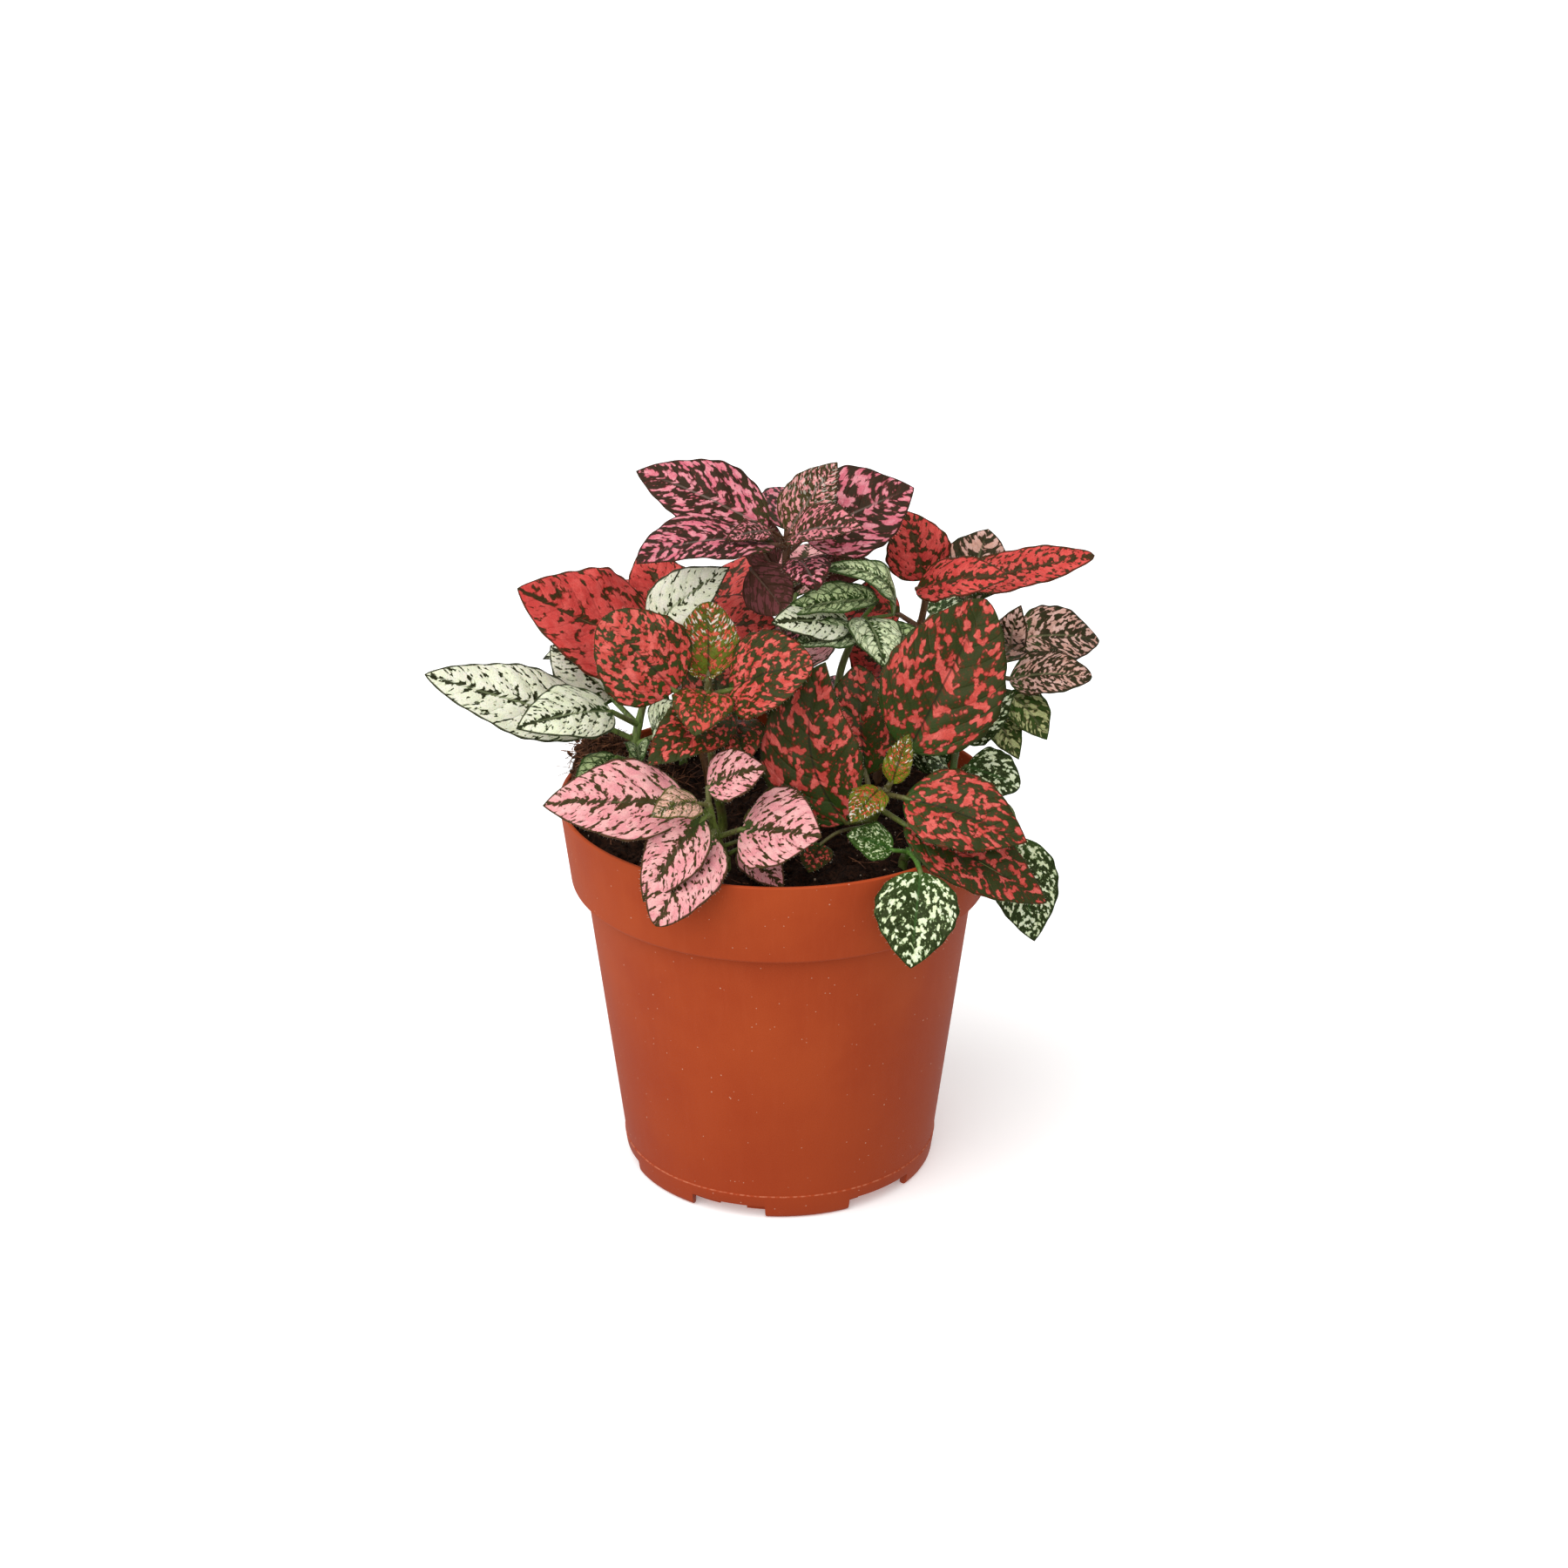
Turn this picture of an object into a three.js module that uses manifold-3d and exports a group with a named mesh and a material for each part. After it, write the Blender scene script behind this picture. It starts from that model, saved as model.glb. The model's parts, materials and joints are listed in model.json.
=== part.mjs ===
// A polka dot plant (Hypoestes phyllostachya) in a round terracotta-coloured plastic nursery pot.
// Millimetres, +Z up. The origin is the middle of the pot's underside, on the ground. -Y is the front.
// The pot holds peat soil, and leafy stems of several colours stand in holes in the soil.

import * as THREE from "three";
import { mergeVertices } from "three/addons/utils/BufferGeometryUtils.js";
import Module from "manifold-3d";

const wasm = await Module();
wasm.setup();

// ---- driving dimensions ----

const SEAT_GAP = 0.3; // between pieces that rest on or in each other
const CUT_MARGIN = 1; // how far a cutter reaches past what it cuts
const ROUND_SIDES = 34;

const POT = {
  height: 99,
  rimRadius: 55, // outside, at the very top
  collarFootRadius: 52.4, // outside, at the collar's lower edge
  collarFootZ: 78,
  collarRound: 0.8,
  shoulder: 2, // the height of the collar's sloping underside
  wallTopRadius: 48.8, // outside, where the wall would meet the collar's lower edge
  footRadius: 39.1, // outside, at the ground before rounding
  footRound: 2.2,
  mouldLineZ: 6.5,
  mouldLineStep: 0.25,
  wall: 1.5,
  rimLip: 1.2,
  rimRound: 0.4,
  floorUnder: 4,
  floorThickness: 1.6,
  floorRound: 1.5, // inside, where the floor meets the wall
};

const FEET = {
  ringWall: 2,
  innerRingOuter: 35,
  innerRingInner: 33.2,
  centreRadius: 8,
  centreSlope: 1,
  notches: 6,
  firstNotchDegrees: 250.5, // 19.5 degrees left of the front
  notchDegrees: 29,
  gapDegrees: 12,
  notchRoof: 0.3, // how far a notch ends below the floor
  drainRing: 22,
  drainRadius: 4,
  drainSides: 10,
};

const SOIL = {
  wallGap: 0.5, // from the pot's wall
  frontZ: 91.5, // level near the rim
  crown: 3.5, // how much higher it stands round the stems
  lumps: 1.3,
  moundHeight: 16,
  moundCentre: [-46, 13],
  moundSize: 15,
  rings: 7,
};

const STEM = {
  sides: 6,
  steps: 6,
  radius: 1.5,
  tipRadius: 0.9,
  depth: 22, // below the surface
  straight: 8, // below the surface, from where the stem is held upright
  collar: 3, // above the surface, to where it is
};
const HOLE = { sides: 8, length: 40 };
const STALK = { radius: 0.8, steps: 1, drop: 4, choices: 40 };
const PAIR = { stalk: 5, lift: 2, lean: 0.35, upward: 0.9, arch: 0.08 };
const BLADE = {
  halfThickness: 0.4,
  endHalfWidth: 0.45,
  waveTurns: 14,
  waveShift: 1.3,
  rows: [0, 0.13, 0.33, 0.56, 0.8, 1],
  smallWidth: 12, // a blade no wider than this has the small rows
  smallRows: [0, 0.2, 0.5, 0.8, 1],
};

const ROUGHNESS = { pot: 0.55, soil: 0.95, leaf: 0.5 };
const COLOURS = {
  terracotta: 0xb3502e,
  peat: 0x2b1b13,
  deepPink: 0xd0607c,
  red: 0xc93c3b,
  white: 0xdde0c8,
  redOnGreen: 0xa8413a,
  lightPink: 0xe8929f,
  speckledGreen: 0x4c6a3a,
  duskyPink: 0xc98a84,
};

// ---- solids ----

const vec = (p) => new THREE.Vector3(...p);

function solidOf(geometry) {
  const bare = new THREE.BufferGeometry();
  bare.setAttribute("position", geometry.getAttribute("position"));
  bare.setIndex(geometry.index);
  const merged = mergeVertices(bare, 1e-3);
  const corners = merged.index.array;
  const kept = [];
  for (let i = 0; i < corners.length; i += 3) {
    const [a, b, c] = corners.slice(i, i + 3);
    if (a !== b && b !== c && c !== a) kept.push(a, b, c);
  }
  return new wasm.Manifold(
    new wasm.Mesh({
      numProp: 3,
      vertProperties: merged.attributes.position.array,
      triVerts: new Uint32Array(kept),
    }),
  );
}

function geometryOf(solid) {
  const mesh = solid.getMesh();
  const geometry = new THREE.BufferGeometry();
  geometry.setAttribute("position", new THREE.BufferAttribute(mesh.vertProperties, 3));
  geometry.setIndex(new THREE.BufferAttribute(mesh.triVerts, 1));
  geometry.computeVertexNormals();
  return geometry;
}

function joined(solids) {
  return solids.reduce((whole, solid) => whole.add(solid));
}

// A closed profile of [radius, z] points turned round the Z axis.
function turned(profile, sides = ROUND_SIDES) {
  const points = profile.map(([r, z]) => new THREE.Vector2(r, z));
  return new THREE.LatheGeometry(points, sides).rotateX(Math.PI / 2);
}

// An upright wedge of a ring, for the notches between the feet.
function ringWedge(inner, outer, bottom, top, centreDegrees, spanDegrees) {
  const start = THREE.MathUtils.degToRad(centreDegrees - spanDegrees / 2);
  const end = THREE.MathUtils.degToRad(centreDegrees + spanDegrees / 2);
  const shape = new THREE.Shape();
  shape.absarc(0, 0, outer, start, end, false);
  shape.absarc(0, 0, inner, end, start, true);
  const options = { depth: top - bottom, bevelEnabled: false, curveSegments: 3 };
  return new THREE.ExtrudeGeometry(shape, options).translate(0, 0, bottom);
}

// A slim rod along points, thinning from one radius to the other.
function rod(points, radius, tipRadius, sides, steps) {
  const path = new THREE.CatmullRomCurve3(points.map(vec), false, "centripetal");
  const section = new THREE.Shape(
    Array.from({ length: sides }, (_, i) => {
      const turn = (2 * Math.PI * i) / sides;
      return new THREE.Vector2(Math.cos(turn), Math.sin(turn)).multiplyScalar(radius);
    }),
  );
  const geometry = new THREE.ExtrudeGeometry(section, { steps, extrudePath: path });
  const place = geometry.getAttribute("position");
  const corner = new THREE.Vector3();
  const stations = path.getSpacedPoints(steps);
  for (let i = 0; i < place.count; i++) {
    corner.fromBufferAttribute(place, i);
    const along = stations.reduce(
      (best, p, k) => (p.distanceTo(corner) < stations[best].distanceTo(corner) ? k : best),
      0,
    );
    const share = THREE.MathUtils.lerp(1, tipRadius / radius, along / steps);
    corner.sub(stations[along]).multiplyScalar(share).add(stations[along]);
    place.setXYZ(i, corner.x, corner.y, corner.z);
  }
  return geometry;
}

// A drain hole's cutter, under which the floor is open to the ground.
function drainCutter(atDegrees) {
  const depth = POT.floorThickness + 2 * CUT_MARGIN;
  const middle = POT.floorUnder + POT.floorThickness / 2;
  return new THREE.CylinderGeometry(FEET.drainRadius, FEET.drainRadius, depth, FEET.drainSides)
    .rotateX(Math.PI / 2)
    .translate(FEET.drainRing, 0, middle)
    .rotateZ(THREE.MathUtils.degToRad(atDegrees));
}

// ---- pot ----

function wallRadius(z) {
  return THREE.MathUtils.mapLinear(
    z, 0, POT.collarFootZ, POT.footRadius, POT.wallTopRadius,
  );
}

function innerRadius(z) {
  const rimInner = POT.rimRadius - POT.rimLip;
  const collarInner = POT.collarFootRadius - POT.wall;
  if (z < POT.collarFootZ) return wallRadius(z) - POT.wall;
  return THREE.MathUtils.mapLinear(z, POT.collarFootZ, POT.height, collarInner, rimInner);
}

// The outside's outline from the ground up to the rim.
function outerProfile() {
  const { footRound, mouldLineZ, mouldLineStep: step, shoulder, collarRound, rimRound } = POT;
  const footCentre = POT.footRadius + step - footRound;
  const foot = [0, 1, 2].map((i) => {
    const turn = (i * Math.PI) / 4;
    return [footCentre + footRound * Math.sin(turn), footRound * (1 - Math.cos(turn))];
  });
  return [
    ...foot,
    [wallRadius(mouldLineZ) + step, mouldLineZ],
    [wallRadius(mouldLineZ + step), mouldLineZ + step],
    [wallRadius(POT.collarFootZ - shoulder), POT.collarFootZ - shoulder],
    [POT.collarFootRadius - collarRound, POT.collarFootZ],
    [POT.collarFootRadius, POT.collarFootZ + collarRound],
    [POT.rimRadius, POT.height - rimRound],
    [POT.rimRadius - rimRound, POT.height],
  ];
}

// The shoulder as it is inside, as thick as the wall, from the wall up to the collar.
function innerShoulder() {
  const top = POT.collarFootZ + POT.wall;
  const foot = top - POT.shoulder;
  return [foot, top].map((z) => [innerRadius(z), z]);
}

// The inside's outline from the rim down to the middle of the floor.
function innerProfile() {
  const { rimLip, rimRound, floorRound } = POT;
  const floorTop = POT.floorUnder + POT.floorThickness;
  return [
    [POT.rimRadius - rimLip + rimRound / 2, POT.height],
    [POT.rimRadius - rimLip, POT.height - rimRound],
    ...innerShoulder().reverse(),
    [innerRadius(floorTop + floorRound), floorTop + floorRound],
    [innerRadius(floorTop) - floorRound, floorTop],
    [0, floorTop],
  ];
}

function potSolid() {
  const { centreRadius, centreSlope, innerRingInner, innerRingOuter } = FEET;
  const ringInner = POT.footRadius - FEET.ringWall;
  const underside = [
    [0, 0],
    [centreRadius, 0],
    [centreRadius + centreSlope, POT.floorUnder],
    [innerRingInner, POT.floorUnder],
    [innerRingInner, 0],
    [innerRingOuter, 0],
    [innerRingOuter, POT.floorUnder],
    [ringInner, POT.floorUnder],
    [ringInner, 0],
  ];
  const whole = solidOf(turned([...underside, ...outerProfile(), ...innerProfile()]));
  const notchTop = POT.floorUnder - FEET.notchRoof;
  const cutters = Array.from({ length: FEET.notches }, (_, i) => {
    const at = FEET.firstNotchDegrees + (360 / FEET.notches) * i;
    const wedge = (inner, outer, degrees) =>
      ringWedge(inner - CUT_MARGIN, outer + CUT_MARGIN, -CUT_MARGIN, notchTop, at, degrees);
    return [
      wedge(ringInner, POT.footRadius, FEET.notchDegrees),
      wedge(innerRingInner, innerRingOuter, FEET.gapDegrees),
      drainCutter(at),
    ];
  });
  return cutters.flat().reduce((rest, cutter) => rest.subtract(solidOf(cutter)), whole);
}

// ---- soil ----

function lump(x, y) {
  return (
    Math.sin(0.55 * x + 1.3) * Math.cos(0.47 * y + 0.4) * 0.5 +
    Math.sin(1.13 * x - 0.6 * y) * 0.3 +
    Math.cos(0.83 * y + 0.35 * x + 2) * 0.2
  );
}

// The height of the soil's surface.
function soilTop(x, y) {
  const out = Math.hypot(x, y) / POT.rimRadius;
  const fromMound = Math.hypot(x - SOIL.moundCentre[0], y - SOIL.moundCentre[1]);
  const mound = SOIL.moundHeight * Math.exp(-((fromMound / SOIL.moundSize) ** 2));
  return SOIL.frontZ + SOIL.crown * (1 - out * out) + mound + SOIL.lumps * lump(x, y);
}

function soilSolid(holes) {
  const { wallGap, rings } = SOIL;
  const { floorRound } = POT;
  const bottom = POT.floorUnder + POT.floorThickness + SEAT_GAP;
  const surfaceMark = POT.height + SOIL.moundHeight; // vertices up here are laid on the surface
  const edge = innerRadius(SOIL.frontZ) - wallGap;
  const profile = [
    [0, bottom],
    [innerRadius(bottom) - floorRound - wallGap, bottom],
    [innerRadius(bottom + floorRound) - wallGap, bottom + floorRound],
    ...innerShoulder().map(([radius, z]) => [radius - wallGap, z + SEAT_GAP]),
  ];
  for (let i = rings; i >= 0; i--) profile.push([(edge * i) / rings, surfaceMark]);
  const geometry = turned(profile);
  const place = geometry.getAttribute("position");
  for (let i = 0; i < place.count; i++) {
    if (place.getZ(i) > POT.height) place.setZ(i, soilTop(place.getX(i), place.getY(i)));
  }
  return holes.reduce((rest, hole) => rest.subtract(hole), solidOf(geometry));
}

// ---- leafy stems ----

// How wide a blade is along its length, as a share of its full width: rounded at the foot, widest
// before the middle, and drawn out at the tip the less the blunter it is.
function bladeShare(t, blunt) {
  return Math.sin(Math.PI * t ** 0.76) ** (0.75 + (0.2 - 0.4 * blunt) * t);
}

// The point of a stem where a leaf stalk springs: the nearest one a little below the blade's foot.
function springPoint(stemPath, foot) {
  const aim = vec(foot);
  aim.z -= STALK.drop;
  return stemPath
    .getSpacedPoints(STALK.choices)
    .reduce((best, p) => (p.distanceTo(aim) < best.distanceTo(aim) ? p : best));
}

// A leaf is { foot, tip, width } with, where it needs them:
// blunt - 1 where the tip is round, 0 where it is drawn out
// face  - the way the upper side looks
// arch  - how far the rib bows towards that side
// bend  - how far the rib bows sideways in the blade
// fold  - how far the margins rise (or, below 0, fall) for each millimetre out from the rib
// wave  - the height of the waves along the margin
// via   - points that the stalk passes on its way from the stem
const LEAF_HABIT = {
  face: [0, -0.6, 0.8], arch: 2, bend: 0, fold: 0.12, wave: 0.5, blunt: 0.25, via: [],
};

// One strip from the stem to the tip: a few cross-sections of stalk, then those of the blade. Each
// has three corners on the upper side and three below, and both sides split alike into triangles.
function leafGeometry(leaf, stemPath) {
  const { foot, tip, width, face, arch, bend, fold, wave, blunt, via } = leaf;
  const start = vec(foot);
  const reach = vec(tip).sub(start);
  const across = new THREE.Vector3().crossVectors(reach, vec(face)).normalize();
  const up = new THREE.Vector3().crossVectors(across, reach).normalize();
  const sections = [];

  const from = springPoint(stemPath, via[0] ?? foot);
  const stalkPath = new THREE.CatmullRomCurve3([from, ...via.map(vec), start]);
  const stalkSteps = STALK.steps + via.length;
  for (let i = 0; i < stalkSteps; i++) {
    const rib = stalkPath.getPoint(i / stalkSteps);
    const heading = stalkPath.getTangent(i / stalkSteps);
    const side = across.clone().addScaledVector(heading, -across.dot(heading)).normalize();
    sections.push({ rib, heading, side, half: STALK.radius, thick: STALK.radius, lifts: [0, 0] });
  }
  for (const t of width > BLADE.smallWidth ? BLADE.rows : BLADE.smallRows) {
    const bow = 4 * t * (1 - t);
    const rib = start.clone().addScaledVector(reach, t);
    rib.addScaledVector(up, arch * bow).addScaledVector(across, bend * bow);
    const heading = reach.clone();
    heading.addScaledVector(up, arch * 4 * (1 - 2 * t));
    heading.addScaledVector(across, bend * 4 * (1 - 2 * t)).normalize();
    const side = across.clone().addScaledVector(heading, -across.dot(heading)).normalize();
    const share = bladeShare(t, blunt);
    const half = Math.max(BLADE.endHalfWidth, (width / 2) * share);
    const lifts = [-BLADE.waveShift, BLADE.waveShift].map(
      (shift) => fold * half + wave * share * Math.sin(BLADE.waveTurns * t + shift),
    );
    const thick = t === 0 ? STALK.radius : BLADE.halfThickness;
    sections.push({ rib, heading, side, half, thick, lifts });
  }

  const corners = sections.flatMap(({ rib, heading, side, half, thick, lifts }) => {
    const normal = new THREE.Vector3().crossVectors(side, heading).normalize();
    return [1, -1].flatMap((below) =>
      [-1, 0, 1].map((column) => {
        const lift = column === 0 ? 0 : lifts[(column + 1) / 2];
        const height = lift + below * thick;
        return rib.clone().addScaledVector(side, column * half).addScaledVector(normal, height);
      }),
    );
  });
  const triangles = [];
  const quad = (a, b, c, d) => triangles.push(a, b, c, a, c, d);
  const perSection = 6;
  const last = sections.length - 1;
  for (let row = 0; row < last; row++) {
    const here = row * perSection;
    const next = here + perSection;
    for (const column of [0, 1]) {
      const lower = 3 + column;
      quad(here + column, here + column + 1, next + column + 1, next + column);
      triangles.push(here + lower, next + lower + 1, here + lower + 1);
      triangles.push(here + lower, next + lower, next + lower + 1);
    }
    quad(here + 3, here, next, next + 3);
    quad(here + 2, here + 5, next + 5, next + 2);
  }
  for (const column of [0, 1]) {
    quad(column, column + 3, column + 4, column + 1);
    const end = last * perSection + column;
    quad(end, end + 1, end + 4, end + 3);
  }
  const geometry = new THREE.BufferGeometry().setFromPoints(corners);
  geometry.setIndex(triangles);
  return geometry;
}

// Two opposite leaves: where they spring, which way the first points in degrees, its length and
// width, how far the tips rise for each millimetre out, and how much smaller the second is.
function leafPair({ at, turn, length, width, rise, second = 1 }) {
  return [1, -1].map((way) => {
    const angle = THREE.MathUtils.degToRad(turn);
    const out = [way * Math.cos(angle), way * Math.sin(angle)];
    const size = way > 0 ? 1 : second;
    const foot = [at[0] + PAIR.stalk * out[0], at[1] + PAIR.stalk * out[1], at[2] + PAIR.lift];
    const tip = [
      foot[0] + length * size * out[0],
      foot[1] + length * size * out[1],
      foot[2] + length * size * rise,
    ];
    const face = [out[0] * PAIR.lean, out[1] * PAIR.lean, PAIR.upward];
    return { foot, tip, width: width * size, face, arch: length * size * PAIR.arch };
  });
}

const STEMS = [];

function leafyStem(name, colour, path, leaves) {
  STEMS.push({ name, colour, path, leaves });
}

leafyStem("leafy_stem_deep_pink", COLOURS.deepPink,
  [[2, 10], [1, 9, 120], [1, 7, 145], [2, 5, 168]],
  [
    { foot: [-3, 6, 167], tip: [-35, 14, 179], width: 21 },
    {
      foot: [-1, 0, 165], tip: [-34, -16, 166], width: 22,
      face: [0, -0.25, 1], bend: 3, blunt: 0.4,
    },
    { foot: [-2, 2, 168], tip: [-13, -8, 169], width: 7, arch: 1 },
    { foot: [2, 3, 167], tip: [14, 6, 184], width: 14, face: [-0.5, -0.8, 0.2], arch: 1 },
    { foot: [6, 8, 164], tip: [33, 16, 174], width: 27, arch: 1 },
    { foot: [3, 0, 167], tip: [20, -14, 174], width: 13, fold: 0.35 },
    { foot: [-7, 5, 157], tip: [2, -3, 148], width: 14, face: [0.2, 1, -0.3], arch: 1 },
    { foot: [6, 6, 153], tip: [24, 8, 157], width: 11, face: [0, 1, 0.2], arch: 1 },
    { foot: [5, 1, 161], tip: [9, -18, 160], width: 12, arch: 1 },
    { foot: [3, 10, 165], tip: [10, 44, 164], width: 24, face: [0.1, 0.4, 0.9] },
    { foot: [-1, 11, 155], tip: [-14, 17, 167], width: 15, face: [-0.3, 0.7, 0.6] },
    ...leafPair({ at: [1, 8, 128], turn: 275, length: 26, width: 19, rise: 0.1, second: 0.8 }),
  ],
);

leafyStem("leafy_stem_red_left", COLOURS.red,
  [[-18, 14], [-22, 16, 112], [-25, 18, 128], [-27, 18, 138]],
  [
    { foot: [-30, 12, 134], tip: [-64, 2, 153], width: 31, arch: 1, bend: -2, blunt: 0.4 },
    { foot: [-27, 20, 138], tip: [-35, 28, 153], width: 17 },
    { foot: [-21, 17, 136], tip: [0, 8, 141], width: 17 },
    { foot: [-28, 23, 134], tip: [-46, 52, 136], width: 24, face: [-0.2, 0.4, 0.9] },
    { foot: [-20, 24, 130], tip: [-8, 50, 144], width: 22, face: [0, 0.4, 0.9] },
  ],
);

leafyStem("leafy_stem_white_left", COLOURS.white,
  [[-33, -1], [-36, -3, 108], [-34, -1, 122], [-28, 3, 137]],
  [
    { foot: [-45, -4, 120], tip: [-86, -12, 136], width: 20, arch: 1, bend: -1, blunt: 0.5 },
    { foot: [-41, -9, 125], tip: [-63, -27, 128], width: 17 },
    { foot: [-41, 3, 123], tip: [-57, 12, 134], width: 17 },
    { foot: [-32, 1, 143], tip: [-12, -2, 160], width: 15, face: [-0.4, -0.8, 0.4], blunt: 0 },
    { foot: [-31, -6, 117], tip: [-24, -14, 129], width: 12 },
    { foot: [-40, -9, 113], tip: [-50, -20, 109], width: 9, arch: 1 },
    { foot: [-35, -7, 115], tip: [-34, -17, 114], width: 6, fold: 0.8, arch: 1 },
  ],
);

leafyStem("leafy_stem_white_middle", COLOURS.white,
  [[13, 2], [14, 3, 115], [15, 4, 130], [20, 4, 144]],
  [
    { foot: [28, 5, 145], tip: [9, -3, 160], width: 9, face: [0.7, -0.4, 0.6], arch: 8 },
    { foot: [24, 2, 150], tip: [0, -6, 149], width: 9, fold: 0.5 },
    { foot: [17, -1, 145], tip: [-2, -11, 149], width: 13, arch: 1 },
    { foot: [21, 0, 146], tip: [25, -15, 139], width: 14, face: [0.3, -0.7, 0.6] },
    { foot: [20, -2, 142], tip: [3, -11, 143], width: 9, fold: 0.5, arch: 1 },
    { foot: [25, 3, 141], tip: [36, -6, 140], width: 9, arch: 1 },
  ],
);

leafyStem("leafy_stem_red_green_front", COLOURS.redOnGreen,
  [[-14, -13], [-16, -17, 112], [-17, -22, 130], [-17, -24, 140]],
  [
    { foot: [-25, -25, 137], tip: [-42, -20, 154], width: 24, face: [-0.2, -0.8, 0.6], blunt: 1 },
    { foot: [-17, -22, 140], tip: [-17, -15, 156], width: 15, arch: 1, blunt: 1 },
    { foot: [-12, -27, 138], tip: [8, -33, 147], width: 24, blunt: 1 },
    { foot: [-17, -28, 138], tip: [-20, -41, 132], width: 15 },
    { foot: [-12, -21, 130], tip: [-31, -42, 125], width: 16 },
    { foot: [-11, -21, 127], tip: [-8, -35, 122], width: 13 },
    { foot: [-15, -17, 126], tip: [-16, 2, 136], width: 17 },
    { foot: [-16, -25, 141], tip: [-14, -29, 143], width: 4, arch: 0 },
    { foot: [-19, -25, 141], tip: [-21, -29, 143], width: 4, arch: 0 },
  ],
);

leafyStem("leafy_stem_light_pink", COLOURS.lightPink,
  [[-13, -33], [-15, -37, 104], [-17, -41, 115]],
  [
    { foot: [-22, -41, 114], tip: [-56, -43, 115], width: 22 },
    { foot: [-19, -44, 116], tip: [-30, -54, 117], width: 10 },
    { foot: [-17, -39, 118], tip: [-3, -39, 123], width: 14 },
    { foot: [-9, -41, 108], tip: [10, -50, 110], width: 24, arch: 1 },
    { foot: [-18, -46, 113], tip: [-32, -56, 96], width: 15 },
    { foot: [-16, -45, 108], tip: [-29, -61, 92], width: 18, blunt: 0.9 },
    { foot: [-9, -36, 101], tip: [1, -47, 95], width: 10, arch: 1 },
    { foot: [-6, -38, 105], tip: [-1, -34, 111], width: 9, arch: 1 },
  ],
);

leafyStem("leafy_stem_red_green_right", COLOURS.redOnGreen,
  [[20, -20], [22, -25, 102], [26, -30, 114]],
  [
    { foot: [31, -24, 121], tip: [50, -8, 154], width: 30, face: [0.1, -0.9, 0.4], blunt: 0.7 },
    { foot: [16, -33, 106], tip: [11, -24, 144], width: 25, face: [-0.2, -0.9, 0.3], bend: -6 },
    { foot: [21, -20, 113], tip: [19, -8, 137], width: 20, face: [-0.2, -0.9, 0.4], blunt: 0.6 },
    { foot: [30, -34, 113], tip: [59, -42, 105], width: 22, blunt: 0.15 },
    { foot: [30, -36, 107], tip: [64, -42, 89], width: 19, blunt: 0.4 },
    { foot: [27, -32, 116], tip: [31, -30, 128], width: 7, arch: 1 },
    { foot: [24, -33, 115], tip: [17, -44, 111], width: 9, arch: 1 },
    { foot: [10, -34, 101], tip: [7, -44, 98], width: 8, arch: 0, via: [[14, -32, 103]] },
  ],
);

leafyStem("leafy_stem_speckled_front", COLOURS.speckledGreen,
  [[30, -32], [31, -35, 98], [31, -38, 101]],
  [
    { foot: [33.5, -48, 100], tip: [31, -61, 81], width: 20, via: [[32.5, -42, 100.5]] },
    { foot: [27, -40, 102], tip: [16, -40, 106], width: 10, arch: 1 },
  ],
);

leafyStem("leafy_stem_speckled_right", COLOURS.speckledGreen,
  [[39, -9], [42, -6, 103], [44, 0, 114]],
  [
    {
      foot: [58, -13, 93], tip: [63, -22, 69], width: 17,
      via: [[51, -10, 103], [57, -12, 100]],
    },
    { foot: [46, -8, 110], tip: [59, -12, 106], width: 14, arch: 1, blunt: 1 },
    { foot: [45, 1, 114], tip: [58, -1, 127], width: 14, arch: 1 },
    { foot: [40, -3, 107], tip: [33, 0, 117], width: 12 },
    { foot: [42, -6, 107], tip: [36, -13, 112], width: 11, arch: 1, blunt: 0.6 },
  ],
);

leafyStem("leafy_stem_red_right", COLOURS.red,
  [[25, 19], [31, 21, 118], [35, 22, 134], [37, 22, 145]],
  [
    { foot: [36, 24, 147], tip: [31, 28, 164], width: 17 },
    { foot: [34, 15, 148], tip: [56, 4, 155], width: 13, blunt: 0.6 },
    { foot: [45, 23, 146], tip: [79, 28, 152], width: 12, arch: 1, blunt: 1 },
    { foot: [30, 18, 140], tip: [14, 20, 140], width: 16 },
    { foot: [35, 15, 125], tip: [44, -4, 128], width: 17 },
    { foot: [28, 18, 125], tip: [17, 10, 138], width: 14, face: [-0.2, -0.9, 0.4] },
  ],
);

leafyStem("leafy_stem_dusky_pink", COLOURS.duskyPink,
  [[39, 10], [46, 10, 114], [53, 9, 128], [55, 8, 133]],
  [
    { foot: [57, 6, 136], tip: [59, 1, 149], width: 9 },
    { foot: [59, 12, 136], tip: [80, 18, 133], width: 17, blunt: 0.5 },
    { foot: [57, 5, 128], tip: [77, 1, 130], width: 13, blunt: 1 },
    { foot: [57, 4, 125], tip: [66, -3, 115], width: 11 },
    { foot: [52, 4, 121], tip: [59, -6, 111], width: 9, arch: 1 },
    { foot: [52, 14, 128], tip: [58, 38, 128], width: 20, face: [0.2, 0.4, 0.9] },
    { foot: [47, 28, 140], tip: [53, 42, 154], width: 18, via: [[52, 22, 137]] },
  ],
);

leafyStem("leafy_stem_back_white", COLOURS.white,
  [[-25, 30], [-29, 36, 108], [-31, 39, 120]],
  [
    ...leafPair({
      at: [-29, 36, 106], turn: 120, length: 32, width: 20, rise: -0.1, second: 0.5,
    }),
    ...leafPair({ at: [-31, 39, 118], turn: 200, length: 26, width: 18, rise: 0.15 }),
  ],
);

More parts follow.
